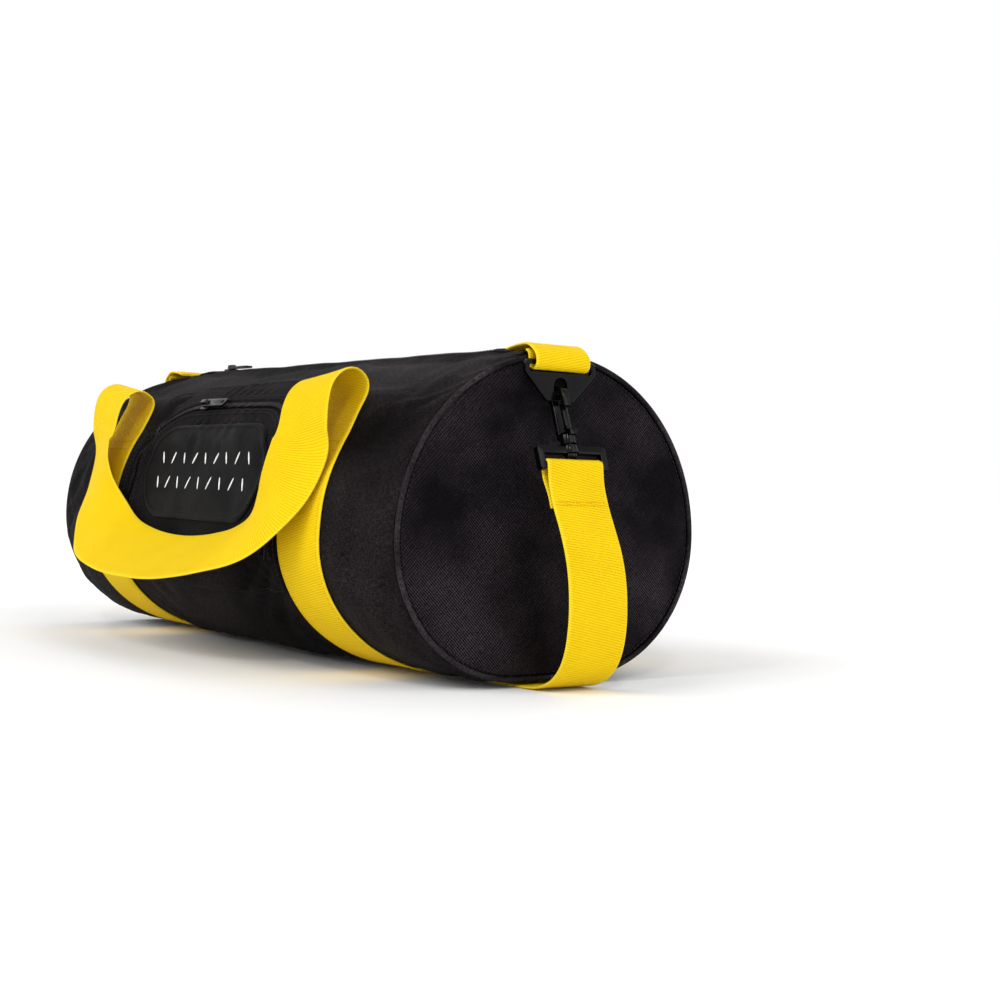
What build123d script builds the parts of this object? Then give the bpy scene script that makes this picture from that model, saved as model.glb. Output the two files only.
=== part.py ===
"""Rope storage bag: a black barrel bag with yellow webbing handles and a clip-on shoulder strap.

Millimetres, +Z up. +X runs along the barrel, the zipped pocket faces -Y, and the origin is on the
ground under the middle of the bag. The bag rests on the strap that is laid flat under it.
"""

import os
from math import cos, radians, sin, sqrt

from build123d import *

os.makedirs("parts", exist_ok=True)

# Webbing: one thickness, and a width each for the handles, the ring tabs and the strap
WEB_WIDTH = 50.0
TAB_WIDTH = 41.0
STRAP_WIDTH = 42.0
WEB_THICK = 1.5
GAP = 0.15  # air between two layers that lie on each other

# Barrel: full section along the middle, smaller where the end seams draw it in
WALL = 1.4
FLAT_HALF = 25.0  # half width of the flat part that the bag lies on
MID_SECTION = dict(half_width=122.5, low=3.4, wide=86.0, top=203.4)
END_SECTION = dict(half_width=114.0, low=3.4, wide=88.0, top=200.0)
BARREL_HALF = 236.0
MID_HALF = 205.0  # from here on the shoulder narrows to the end seam

# End seams
PIPING_WIDTH = 4.0
PIPING_DEPTH = 3.6
PIPING_ROUND = 1.5
BINDING_DEPTH = 11.0
BINDING_THICK = 3.0

# Main zip, along the top
SLOT_HALF_LENGTH = 192.0
SLOT_HALF_WIDTH = 8.0
TAPE_HALF_LENGTH = 200.0
TAPE_INNER = 3.0
TAPE_OUTER = 18.0
TAPE_THICK = 0.8
COIL_HALF_LENGTH = 190.0
COIL_WIDTH = 4.6
COIL_PROUD = 0.6
COIL_DEPTH = 3.0
MAIN_SLIDER_X = -182.0
END_TAB_LENGTH = 16.0
END_TAB_WIDTH = 30.0

# Zip slider and its pull, the same for both zips
SLIDER_LENGTH = 11.0
SLIDER_WIDTH = 9.6
SLIDER_CORNER = 2.5
SLIDER_PLATE = 1.6
SLIDER_RAIL = 1.3
SLIDER_RAIL_DEPTH = 1.0
SLIDER_CLEAR = 0.35  # air over the coil
CROWN_LENGTH = 8.0
CROWN_WIDTH = 3.0
CROWN_HEIGHT = 3.6
CROWN_WINDOW_LENGTH = 4.8
CROWN_WINDOW_HEIGHT = 2.3
PIN_RADIUS = 0.8
PIN_HEIGHT = 1.15  # pull's pin above the slider's plate
PULL_ARM_GAP = 3.8
PULL_WIDTH = 7.0
PULL_ARM_LENGTH = 6.5
PULL_LENGTH = 30.0
PULL_CORNER = 2.5
UPRIGHT = 0.9  # least share of an edge's direction that counts as along an axis

# Front pocket: a panel on the barrel between the handles, opened by an arched zip
POCKET_HALF_WIDTH = 121.2
POCKET_LOW = 48.0
POCKET_HIGH = 184.0
POCKET_LIFT = 1.0  # panel above the barrel
POCKET_THICK = 0.8
POCKET_TILT = 30.0  # the pocket's middle faces this far above level
POCKET_MIDDLE_Z = 150.0
POCKET_DEPTH = 40.0  # reach of the pocket's outlines through the barrel's curve
ARCH_TOP = 21.5
ARCH_FLAT = 50.0
ARCH_RADIUS = 55.0
ARCH_LEG = 45.0
POCKET_SLOT_WIDTH = 9.0
POCKET_TAPE_WIDTH = 22.0
POCKET_COIL_WIDTH = 4.4
POCKET_COIL_HIGH = 2.6
POCKET_SLIDER_X = -40.0
PATCH_LENGTH = 176.0
PATCH_HEIGHT = 66.0
PATCH_MIDDLE = -29.0
PATCH_LIFT = 2.0
PATCH_THICK = 1.0

# Handles: hoops sewn round the barrel, and a free loop at the front and at the back
HANDLE_X = 147.0
HOOP_TOP = 165.0
CREST_LAP = 2.0  # the standing end starts this far inside the hoop
CREST_RADIUS = 8.0
CREST_TURN = 75.0
CREST_RISE = 14.0
CREST_AIR = 1.8  # from the fold line to the first stiff webbing on each side

# Strap hardware at each end
HARDWARE_Y = -6.0  # its middle lies this far to the front of the zip
RING_X = 246.5
RING_BAR_Z = 193.0
RING_THICK = 3.2
RING_HALF_WIDTH = 26.6
RING_SHOULDER = 6.0  # straight side below the bar's middle
RING_APEX_HALF = 10.0
RING_APEX_DROP = 22.5
RING_SLOT_HALF = 23.4
RING_SLOT_HEIGHT = 4.0
RING_HOLE_RADIUS = 5.0
RING_HOLE_DROP = 13.5
RING_EDGE = 0.7
RING_CORNER = 3.0
RING_SLOT_CORNER = 1.2
TAB_LOOP_RADIUS = 3.0
TAB_START_X = 224.0
TAB_TOP_Z = 202.6
TAB_BEND_RADIUS = 7.5
TAB_RETURN_Z = 200.6

HOOK_LEAN = 20.5  # degrees that the hook leans in towards the end panel
HOOK_THICK = 5.0
HOOK_MIDDLE = -0.5
HOOK_INNER_RADIUS = 3.4
HOOK_BAR = 3.4
HOOK_CROWN_DROP = 1.6
HOOK_NOSE_DROP = 9.0
HOOK_FOOT_TOP = 23.8
HOOK_FOOT_LOW = 27.0
HOOK_EDGE = 0.8
COLLAR_RADIUS = 4.6
COLLAR_LAP = 1.0  # the collar reaches this far into the hook's foot
COLLAR_LOW = 31.5
NECK_RADIUS = 2.2
FLANGE_RADIUS = 3.8
FLANGE_TOP = 37.9
FLANGE_LOW = 39.6
GATE_OFFSET = 2.0
GATE_PIVOT_DROP = 22.0
GATE_TIP_DROP = 7.2
GATE_LEAN = 0.2
GATE_THICK = 1.5
GATE_WIDTH = 4.2
BASE_HALF_WIDTH = 25.7
BASE_TOP = 33.0
BASE_CROSSBAR_LOW = 37.5
BASE_THICK = 4.0
BASE_CORNER = 2.0
BASE_BOSS_RADIUS = 4.8
BASE_HOLE_RADIUS = 2.4
BASE_SIDE = 4.2
BASE_LOW = 47.5
STRAP_BAR_DROP = 44.3
STRAP_BAR_RADIUS = 1.6

# Shoulder strap: laid flat under the bag and curled up in front of each end panel
STRAP_LOOP_RADIUS = 2.7
CURL_RADIUS = 20.0
CURL_TURN = 82.0
STRAP_TOP_HEADING = 118.0
FOLD_BACK_LENGTH = 28.0

# Free loop of a handle, from the fold at its right end to the middle: the middle of the webbing,
# and the direction across its width. The left half is the mirror image.
LOOP_STATIONS = [
    ((147.0, -114.0, 181.5), (1.0, 0.03, 0.0)),
    ((147.0, -120.0, 166.0), (1.0, 0.06, 0.0)),
    ((147.0, -121.0, 139.0), (0.98, 0.16, -0.03)),
    ((142.0, -127.0, 118.5), (0.95, 0.04, -0.29)),
    ((128.0, -134.5, 97.0), (0.90, -0.28, -0.32)),
    ((107.0, -140.5, 83.0), (0.74, -0.50, -0.42)),
    ((81.0, -145.5, 74.0), (0.50, -0.72, -0.48)),
    ((52.0, -148.0, 69.0), (0.25, -0.80, -0.54)),
    ((25.0, -149.0, 66.5), (0.10, -0.83, -0.55)),
    ((0.0, -149.5, 66.0), (0.0, -0.84, -0.54)),
]


def keep(part, name):
    """Name a finished piece and write it."""
    part.label = name
    export_step(part, f"parts/{name}.step")


def keep_pair(part, name, across=0.0):
    """Write the right-hand piece, moved across the bag, and its mirror image at the left end."""
    placed = part.moved(Location((0, across, 0)))
    keep(placed, f"{name}_right")
    with BuildPart() as left:
        mirror(placed, about=Plane.YZ)
    keep(left.part, f"{name}_left")


def outline(half_width, low, wide, top, grow=0.0):
    """Barrel section, seen along X: a flat bottom, quarter ellipses up to the widest height and
    half an ellipse over the top. grow moves the outline out."""
    with BuildSketch() as face:
        with BuildLine():
            side = half_width - FLAT_HALF + grow
            below = wide - low + grow
            above = top - wide + grow
            EllipticalCenterArc((FLAT_HALF, wide), side, below, start_angle=-90, arc_size=90)
            EllipticalCenterArc((0, wide), half_width + grow, above, start_angle=0, arc_size=90)
            EllipticalCenterArc((0, wide), half_width + grow, above, start_angle=90, arc_size=90)
            EllipticalCenterArc((-FLAT_HALF, wide), side, below, start_angle=180, arc_size=90)
            Line((-FLAT_HALF, low - grow), (FLAT_HALF, low - grow))
        make_face()
    return face.sketch


def side_of(height, grow=0.0):
    """Half width of the barrel's middle section at a height above its widest point."""
    reach = MID_SECTION["half_width"] + grow
    rise = MID_SECTION["top"] - MID_SECTION["wide"] + grow
    return reach * sqrt(1 - ((height - MID_SECTION["wide"]) / rise) ** 2)


def layer(inner, outer, half_length):
    """A skin round the barrel's middle, between two growths of its outline."""
    with BuildPart() as skin:
        with BuildSketch(Plane.YZ.offset(-half_length)):
            add(outline(**MID_SECTION, grow=outer))
            add(outline(**MID_SECTION, grow=inner), mode=Mode.SUBTRACT)
        extrude(amount=2 * half_length)
    return skin.part


def barrel_shell():
    """The rolled main panel, open at both ends and along the zip."""
    with BuildPart() as shell:
        for grow, mode in ((0.0, Mode.ADD), (-WALL, Mode.SUBTRACT)):
            with BuildSketch(Plane.YZ.offset(-MID_HALF)):
                add(outline(**MID_SECTION, grow=grow))
            extrude(amount=2 * MID_HALF, mode=mode)
            for side in (-1, 1):
                with BuildSketch(Plane.YZ.offset(side * MID_HALF)):
                    add(outline(**MID_SECTION, grow=grow))
                with BuildSketch(Plane.YZ.offset(side * BARREL_HALF)):
                    add(outline(**END_SECTION, grow=grow))
                loft(ruled=True, mode=mode)
        with Locations((0, 0, MID_SECTION["top"])):
            Box(2 * SLOT_HALF_LENGTH, 2 * SLOT_HALF_WIDTH, 4 * WALL, mode=Mode.SUBTRACT)
    keep(shell.part, "barrel_shell")


def end_ring(inner, outer, start, depth):
    """A ring that follows the end seam, from start towards the outside."""
    with BuildPart() as ring:
        with BuildSketch(Plane.YZ.offset(start)):
            add(outline(**END_SECTION, grow=outer))
            add(outline(**END_SECTION, grow=inner), mode=Mode.SUBTRACT)
        extrude(amount=depth)
    return ring.part


def end_seams():
    """End panels, the piping round them and the tape that binds the seam inside."""
    seam = BARREL_HALF + GAP
    with BuildPart() as panel:
        with BuildSketch(Plane.YZ.offset(seam)):
            add(outline(**END_SECTION, grow=-PIPING_WIDTH - GAP))
        extrude(amount=WALL)
    keep_pair(panel.part, "end_panel")

    with BuildPart() as piping:
        add(end_ring(-PIPING_WIDTH, 0.0, seam, PIPING_DEPTH))
        fillet(piping.faces().sort_by(Axis.X)[-1].edges(), radius=PIPING_ROUND)
    keep_pair(piping.part, "piping")

    outer = -WALL - 2 * GAP
    binding = end_ring(outer - BINDING_THICK, outer, BARREL_HALF - BINDING_DEPTH, BINDING_DEPTH)
    keep_pair(binding, "seam_binding")


def main_zip():
    """Tapes, coil and end tabs of the zip along the top."""
    tape_top = -WALL - GAP
    tape_middle = (TAPE_INNER + TAPE_OUTER) / 2
    for side, name in ((-1, "front"), (1, "back")):
        with BuildPart() as tape:
            add(layer(tape_top - TAPE_THICK, tape_top, TAPE_HALF_LENGTH))
            with Locations((0, side * tape_middle, MID_SECTION["top"])):
                Box(
                    2 * TAPE_HALF_LENGTH,
                    TAPE_OUTER - TAPE_INNER,
                    TAPE_OUTER,
                    mode=Mode.INTERSECT,
                )
        keep(tape.part, f"main_zip_tape_{name}")

    with BuildPart() as coil:
        add(layer(COIL_PROUD - COIL_DEPTH, COIL_PROUD, COIL_HALF_LENGTH))
        with Locations((0, 0, MID_SECTION["top"])):
            Box(2 * COIL_HALF_LENGTH, COIL_WIDTH, 4 * COIL_DEPTH, mode=Mode.INTERSECT)
    keep(coil.part, "main_zip_coil")

    with BuildPart() as end_tab:
        add(layer(GAP, GAP + TAPE_THICK, SLOT_HALF_LENGTH + END_TAB_LENGTH))
        with Locations((SLOT_HALF_LENGTH + END_TAB_LENGTH / 2, 0, MID_SECTION["top"])):
            Box(END_TAB_LENGTH, END_TAB_WIDTH, END_TAB_WIDTH, mode=Mode.INTERSECT)
    keep_pair(end_tab.part, "main_zip_end_tab")


def zip_slider(place, coil_top, name):
    """A slider that rides on the coil, with the crown that holds its pull."""
    plate_low = coil_top + SLIDER_CLEAR
    plate_top = plate_low + SLIDER_PLATE
    with BuildPart() as slider:
        with BuildSketch(place.offset(plate_low)):
            RectangleRounded(SLIDER_LENGTH, SLIDER_WIDTH, SLIDER_CORNER)
        extrude(amount=SLIDER_PLATE)
        with BuildSketch(place.offset(plate_low)):
            with GridLocations(0, SLIDER_WIDTH - SLIDER_RAIL, 1, 2):
                Rectangle(SLIDER_LENGTH - 2 * SLIDER_CORNER, SLIDER_RAIL)
        extrude(amount=-SLIDER_RAIL_DEPTH)
        crown_foot = place.origin + place.z_dir * plate_top
        across = Plane(crown_foot, x_dir=place.x_dir, z_dir=-place.y_dir)
        with BuildSketch(across):
            with Locations((0, CROWN_HEIGHT / 2)):
                Rectangle(CROWN_LENGTH, CROWN_HEIGHT)
            with Locations((0, CROWN_WINDOW_HEIGHT / 2)):
                Rectangle(CROWN_WINDOW_LENGTH, CROWN_WINDOW_HEIGHT, mode=Mode.SUBTRACT)
        extrude(amount=CROWN_WIDTH / 2, both=True)
    keep(slider.part, f"{name}_slider")


def zip_pull(place, coil_top, direction, name):
    """The pull: a pin under the crown, two arms beside it and a flat grip."""
    pin_height = coil_top + SLIDER_CLEAR + SLIDER_PLATE + PIN_HEIGHT
    pin_place = place.offset(pin_height)
    across = Plane(pin_place.origin, x_dir=place.x_dir, z_dir=-place.y_dir)
    with BuildPart() as pull:
        with BuildSketch(across):
            Circle(PIN_RADIUS)
        extrude(amount=PULL_WIDTH / 2, both=True)
        with BuildSketch(pin_place):
            with Locations((direction * PULL_LENGTH / 2, 0)):
                Rectangle(PULL_LENGTH, PULL_WIDTH)
            with Locations((direction * PULL_ARM_LENGTH / 2, 0)):
                Rectangle(PULL_ARM_LENGTH, PULL_ARM_GAP, mode=Mode.SUBTRACT)
            with Locations((direction * (PULL_LENGTH - PULL_WIDTH / 2), 0)):
                Circle(PULL_WIDTH / 4, mode=Mode.SUBTRACT)
        extrude(amount=PIN_RADIUS, both=True)
        upright = pull.edges().filter_by(lambda edge: abs(edge.tangent_at(0).dot(place.z_dir)) > UPRIGHT)
        by_x = upright.sort_by(Axis.X, reverse=direction > 0)
        fillet(by_x[:2], PULL_CORNER)
    keep(pull.part, f"{name}_pull")


def pocket_plane():
    """Faces the pocket: its own X is the barrel's, its own Y runs up along the barrel."""
    tilt = radians(POCKET_TILT)
    origin = (0, -side_of(POCKET_MIDDLE_Z), POCKET_MIDDLE_Z)
    return Plane(origin, x_dir=(1, 0, 0), z_dir=(0, -cos(tilt), sin(tilt)))


def arch_band(width):
    """A band of the given width along the pocket's arched zip, through the barrel's skin."""
    corner_x = ARCH_FLAT + ARCH_RADIUS
    corner_y = ARCH_TOP - ARCH_RADIUS
    with BuildPart() as band:
        with BuildSketch(pocket_plane()):
            with BuildLine():
                Line((-corner_x, corner_y - ARCH_LEG), (-corner_x, corner_y))
                JernArc((-corner_x, corner_y), (0, 1), ARCH_RADIUS, -90)
                Line((-ARCH_FLAT, ARCH_TOP), (ARCH_FLAT, ARCH_TOP))
                JernArc((ARCH_FLAT, ARCH_TOP), (1, 0), ARCH_RADIUS, -90)
                Line((corner_x, corner_y), (corner_x, corner_y - ARCH_LEG))
            trace(line_width=width)
        extrude(amount=POCKET_DEPTH, both=True)
    return band.part


def pocket():
    """Panel, arched zip and patch on the front of the barrel."""
    reach = POCKET_HALF_WIDTH
    middle_z = (POCKET_LOW + POCKET_HIGH) / 2
    with BuildPart() as panel:
        add(layer(POCKET_LIFT, POCKET_LIFT + POCKET_THICK, reach))
        with Locations((0, -reach / 2 - POCKET_DEPTH, middle_z)):
            Box(2 * reach, reach, POCKET_HIGH - POCKET_LOW, mode=Mode.INTERSECT)
        add(arch_band(POCKET_SLOT_WIDTH), mode=Mode.SUBTRACT)
    keep(panel.part, "pocket_panel")

    with BuildPart() as tape:
        add(layer(GAP, GAP + TAPE_THICK - 2 * GAP, reach))
        add(arch_band(POCKET_TAPE_WIDTH), mode=Mode.INTERSECT)
        add(arch_band(POCKET_COIL_WIDTH + 4 * GAP), mode=Mode.SUBTRACT)
    keep(tape.part, "pocket_zip_tape")

    with BuildPart() as coil:
        add(layer(GAP, POCKET_COIL_HIGH, reach))
        add(arch_band(POCKET_COIL_WIDTH), mode=Mode.INTERSECT)
    keep(coil.part, "pocket_zip_coil")

    with BuildPart() as patch:
        with BuildSketch(pocket_plane()):
            with Locations((0, PATCH_MIDDLE)):
                SlotOverall(PATCH_LENGTH, PATCH_HEIGHT)
        extrude(amount=POCKET_DEPTH, both=True)
        add(layer(PATCH_LIFT, PATCH_LIFT + PATCH_THICK, reach), mode=Mode.INTERSECT)
    keep(patch.part, "patch")


def pocket_zip_plane():
    """Stands on the barrel's skin at the straight part of the pocket's zip."""
    face = pocket_plane()
    start = face.origin + face.y_dir * ARCH_TOP
    reach = MID_SECTION["half_width"]
    rise = MID_SECTION["top"] - MID_SECTION["wide"]
    start_y, start_z = start.Y / reach, (start.Z - MID_SECTION["wide"]) / rise
    step_y, step_z = face.z_dir.Y / reach, face.z_dir.Z / rise
    square = step_y**2 + step_z**2
    half_linear = start_y * step_y + start_z * step_z
    constant = start_y**2 + start_z**2 - 1
    distance = (sqrt(half_linear**2 - square * constant) - half_linear) / square
    foot = start + face.z_dir * distance
    out = Vector(0, foot.Y / reach**2, (foot.Z - MID_SECTION["wide"]) / rise**2)
    return Plane((POCKET_SLIDER_X, foot.Y, foot.Z), x_dir=(1, 0, 0), z_dir=out)


def fold_line():
    """Y and Z of the line that a free handle loop folds over, at the front."""
    start, heading = crest_start()
    turned = radians(heading + CREST_TURN)
    before = radians(heading)
    y = start.X - CREST_RADIUS * sin(before) + CREST_RADIUS * sin(turned)
    z = start.Y + CREST_RADIUS * cos(before) - CREST_RADIUS * cos(turned)
    reach = CREST_RISE + CREST_AIR
    return y + reach * cos(turned), z + reach * sin(turned)


def crest_start():
    """Where the webbing leaves the barrel at the front, seen along X, and its heading there."""
    height = HOOP_TOP - CREST_LAP
    middle = GAP + WEB_THICK / 2
    reach = MID_SECTION["half_width"] + middle
    rise = MID_SECTION["top"] - MID_SECTION["wide"] + middle
    side = side_of(height, middle)
    run = reach**2 * (height - MID_SECTION["wide"]) / rise**2
    return Vector(-side, height), Vector(run, side).get_angle(Vector(1, 0))


def handle_band():
    """A hoop of webbing sewn round the barrel, with the two ends that stand up off it."""
    start, heading = crest_start()
    with BuildPart() as band:
        add(layer(GAP, GAP + WEB_THICK, HANDLE_X + WEB_WIDTH))
        with Locations((HANDLE_X, 0, HOOP_TOP / 2)):
            Box(WEB_WIDTH, 4 * MID_SECTION["half_width"], HOOP_TOP, mode=Mode.INTERSECT)
        with BuildSketch(Plane.YZ.offset(HANDLE_X - WEB_WIDTH / 2)):
            with BuildLine():
                away = (cos(radians(heading)), sin(radians(heading)))
                bend = JernArc(start, away, CREST_RADIUS, CREST_TURN)
                PolarLine(bend @ 1, CREST_RISE, direction=bend % 1)
            trace(line_width=WEB_THICK)
            mirror(about=Plane.YZ)
        extrude(amount=WEB_WIDTH)
    keep_pair(band.part, "handle_band")


def handle_loops():
    """The free loops: webbing that turns from lying flat on the barrel to standing edge on."""
    fold_y, fold_z = fold_line()
    first = Vector(*LOOP_STATIONS[0][0])
    down = (first - Vector(HANDLE_X, fold_y, fold_z)).normalized()
    top = Vector(HANDLE_X, fold_y, fold_z) + down * CREST_AIR
    stations = [(top, Vector(1, 0, 0))]
    stations += [(Vector(*middle), Vector(*across)) for middle, across in LOOP_STATIONS]
    for middle, across in reversed(stations[:-1]):
        stations.append((Vector(-middle.X, middle.Y, middle.Z), Vector(-across.X, across.Y, across.Z)))

    with BuildPart() as front:
        for index, (middle, across) in enumerate(stations):
            ahead = stations[min(index + 1, len(stations) - 1)][0]
            behind = stations[max(index - 1, 0)][0]
            along = (ahead - behind).normalized()
            level = (across - along * across.dot(along)).normalized()
            with BuildSketch(Plane(middle, x_dir=level, z_dir=along)):
                Rectangle(WEB_WIDTH, WEB_THICK)
        loft(ruled=True)
    keep(front.part, "handle_loop_front")

    with BuildPart() as back:
        mirror(front.part, about=Plane.XZ)
    keep(back.part, "handle_loop_back")


def ring_tab():
    """Webbing sewn over the end seam that holds the ring."""
    with BuildPart() as tab:
        with BuildSketch(Plane.XZ.offset(-TAB_WIDTH / 2)):
            with BuildLine():
                Line((TAB_START_X, TAB_TOP_Z), (RING_X + TAB_LOOP_RADIUS - TAB_BEND_RADIUS, TAB_TOP_Z))
                bend_start = (RING_X + TAB_LOOP_RADIUS - TAB_BEND_RADIUS, TAB_TOP_Z)
                bend = JernArc(bend_start, (1, 0), TAB_BEND_RADIUS, -90)
                Line(bend @ 1, (RING_X + TAB_LOOP_RADIUS, RING_BAR_Z))
                JernArc((RING_X + TAB_LOOP_RADIUS, RING_BAR_Z), (0, -1), TAB_LOOP_RADIUS, -180)
                Line((RING_X - TAB_LOOP_RADIUS, RING_BAR_Z), (RING_X - TAB_LOOP_RADIUS, TAB_RETURN_Z))
            trace(line_width=WEB_THICK)
        extrude(amount=TAB_WIDTH)
    keep_pair(tab.part, "ring_tab", HARDWARE_Y)


def ring():
    """Three-sided ring: a bar for the tab, and a plate with a round hole for the hook."""
    top = RING_BAR_Z + RING_THICK / 2
    shoulder = RING_BAR_Z - RING_SHOULDER
    with BuildPart() as plate:
        with BuildSketch(Plane.YZ.offset(RING_X - RING_THICK / 2)):
            with BuildLine():
                FilletPolyline(
                    (0, top),
                    (RING_HALF_WIDTH, top),
                    (RING_HALF_WIDTH, shoulder),
                    (RING_APEX_HALF, RING_BAR_Z - RING_APEX_DROP),
                    (0, RING_BAR_Z - RING_APEX_DROP),
                    radius=RING_CORNER,
                )
                mirror(about=Plane.YZ)
            make_face()
            with Locations((0, RING_BAR_Z - RING_THICK / 2 - RING_SLOT_HEIGHT / 2)):
                RectangleRounded(
                    2 * RING_SLOT_HALF,
                    RING_SLOT_HEIGHT,
                    RING_SLOT_CORNER,
                    mode=Mode.SUBTRACT,
                )
            with Locations((0, RING_BAR_Z - RING_HOLE_DROP)):
                Circle(RING_HOLE_RADIUS, mode=Mode.SUBTRACT)
        extrude(amount=RING_THICK)
        fillet(plate.faces().filter_by(Axis.X).edges(), radius=RING_EDGE)
    keep_pair(plate.part, "ring", HARDWARE_Y)


def hook_plane():
    """Hook's own frame: origin where it hangs in the ring, X away from the bag, Y up the hook."""
    lean = radians(HOOK_LEAN)
    origin = (RING_X, 0, RING_BAR_Z - RING_HOLE_DROP - RING_HOLE_RADIUS)
    return Plane(origin, x_dir=(cos(lean), 0, sin(lean)), z_dir=(0, -1, 0))


def hook_axis_plane(drop):
    """Looks up the hook's own axis, at a distance below where it hangs."""
    frame = hook_plane()
    return Plane(
        frame.from_local_coords((HOOK_MIDDLE, -drop, 0)),
        x_dir=frame.x_dir,
        z_dir=frame.y_dir,
    )


def hook():
    """Snap hook: crown, spine, nose and foot, with the collar and neck that it swivels on."""
    inner = HOOK_INNER_RADIUS
    outer = HOOK_INNER_RADIUS + HOOK_BAR
    spine = HOOK_FOOT_LOW - HOOK_CROWN_DROP
    nose = HOOK_NOSE_DROP - HOOK_CROWN_DROP
    with BuildPart() as body:
        with BuildSketch(hook_plane()):
            with Locations((HOOK_MIDDLE, -HOOK_CROWN_DROP)):
                Circle(outer)
                Circle(inner, mode=Mode.SUBTRACT)
                with Locations((0, -outer)):
                    Rectangle(2 * outer, 2 * outer, mode=Mode.SUBTRACT)
                with Locations((-(inner + outer) / 2, -spine / 2)):
                    Rectangle(HOOK_BAR, spine)
                with Locations(((inner + outer) / 2, -nose / 2)):
                    Rectangle(HOOK_BAR, nose)
            with Locations((HOOK_MIDDLE, -(HOOK_FOOT_TOP + HOOK_FOOT_LOW) / 2)):
                Rectangle(2 * outer, HOOK_FOOT_LOW - HOOK_FOOT_TOP)
        extrude(amount=HOOK_THICK / 2, both=True)
        fillet(body.edges().filter_by(GeomType.CIRCLE), radius=HOOK_EDGE)
        for radius, low, high in (
            (COLLAR_RADIUS, COLLAR_LOW, HOOK_FOOT_LOW - COLLAR_LAP),
            (NECK_RADIUS, FLANGE_LOW, COLLAR_LOW),
            (FLANGE_RADIUS, FLANGE_LOW, FLANGE_TOP),
        ):
            with BuildSketch(hook_axis_plane(low)):
                Circle(radius)
            extrude(amount=low - high)
    keep_pair(body.part, "hook", HARDWARE_Y)


def hook_gate():
    """The springy tongue that closes the hook, behind its nose."""
    with BuildPart() as gate:
        with BuildSketch(hook_plane()):
            with BuildLine():
                Line((GATE_OFFSET, -GATE_PIVOT_DROP), (GATE_OFFSET - GATE_LEAN, -GATE_TIP_DROP))
            trace(line_width=GATE_THICK)
            with Locations((GATE_OFFSET, -GATE_PIVOT_DROP)):
                Circle(GATE_THICK)
        extrude(amount=GATE_WIDTH / 2, both=True)
    keep_pair(gate.part, "hook_gate", HARDWARE_Y)


def swivel_base():
    """Frame with a boss for the hook's neck and a round bar that carries the strap."""
    frame = hook_plane()
    height = BASE_LOW - BASE_TOP
    middle = (BASE_LOW + BASE_TOP) / 2
    face = Plane(
        frame.from_local_coords((HOOK_MIDDLE - BASE_THICK / 2, -middle, 0)),
        x_dir=(0, 1, 0),
        z_dir=frame.x_dir,
    )
    window = BASE_LOW - BASE_CROSSBAR_LOW
    with BuildPart() as base:
        with BuildSketch(face):
            RectangleRounded(2 * BASE_HALF_WIDTH, height, BASE_CORNER)
            with Locations((0, -height / 2)):
                Rectangle(2 * (BASE_HALF_WIDTH - BASE_SIDE), 2 * window, mode=Mode.SUBTRACT)
        extrude(amount=BASE_THICK)
        with BuildSketch(hook_axis_plane(BASE_CROSSBAR_LOW)):
            Circle(BASE_BOSS_RADIUS)
        extrude(amount=BASE_CROSSBAR_LOW - BASE_TOP)
        with BuildSketch(hook_axis_plane(BASE_LOW)):
            Circle(BASE_HOLE_RADIUS)
        extrude(amount=BASE_LOW, mode=Mode.SUBTRACT)
        bar_middle = frame.from_local_coords((HOOK_MIDDLE, -STRAP_BAR_DROP, 0))
        with BuildSketch(Plane(bar_middle, x_dir=frame.x_dir, z_dir=frame.z_dir)):
            Circle(STRAP_BAR_RADIUS)
        extrude(amount=BASE_HALF_WIDTH - BASE_SIDE / 2, both=True)
    keep_pair(base.part, "swivel_base", HARDWARE_Y)


def shoulder_strap():
    """One length of webbing: flat under the bag, bowed up at each end and sewn round the bars."""
    bar = hook_plane().from_local_coords((HOOK_MIDDLE, -STRAP_BAR_DROP, 0))
    heading = radians(STRAP_TOP_HEADING)
    top_x = bar.X + STRAP_LOOP_RADIUS * sin(heading)
    top_z = bar.Z - STRAP_LOOP_RADIUS * cos(heading)
    turn = radians(CURL_TURN)
    curl_end_z = WEB_THICK / 2 + CURL_RADIUS * (1 - cos(turn))
    bow_radius = (top_z - curl_end_z) / (cos(turn) - cos(heading))
    curl_end_x = top_x - bow_radius * (sin(heading) - sin(turn))
    curl_start = (curl_end_x - CURL_RADIUS * sin(turn), WEB_THICK / 2)
    with BuildPart() as strap:
        with BuildSketch(Plane.XZ.offset(-STRAP_WIDTH / 2)):
            with BuildLine():
                Line((0, WEB_THICK / 2), curl_start)
                curl = JernArc(curl_start, (1, 0), CURL_RADIUS, CURL_TURN)
                bow = JernArc(curl @ 1, curl % 1, bow_radius, STRAP_TOP_HEADING - CURL_TURN)
                loop = JernArc(bow @ 1, bow % 1, STRAP_LOOP_RADIUS, 180)
                PolarLine(loop @ 1, FOLD_BACK_LENGTH, direction=loop % 1)
            trace(line_width=WEB_THICK)
        extrude(amount=STRAP_WIDTH)
        mirror(about=Plane.YZ)
    keep(strap.part.moved(Location((0, HARDWARE_Y, 0))), "shoulder_strap")


barrel_shell()
end_seams()
main_zip()
main_place = Plane((MAIN_SLIDER_X, 0, MID_SECTION["top"]), x_dir=(1, 0, 0), z_dir=(0, 0, 1))
zip_slider(main_place, COIL_PROUD, "main_zip")
zip_pull(main_place, COIL_PROUD, 1, "main_zip")
pocket()
zip_slider(pocket_zip_plane(), POCKET_COIL_HIGH, "pocket_zip")
zip_pull(pocket_zip_plane(), POCKET_COIL_HIGH, 1, "pocket_zip")
handle_band()
handle_loops()
ring_tab()
ring()
hook()
hook_gate()
swivel_base()
shoulder_strap()
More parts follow.
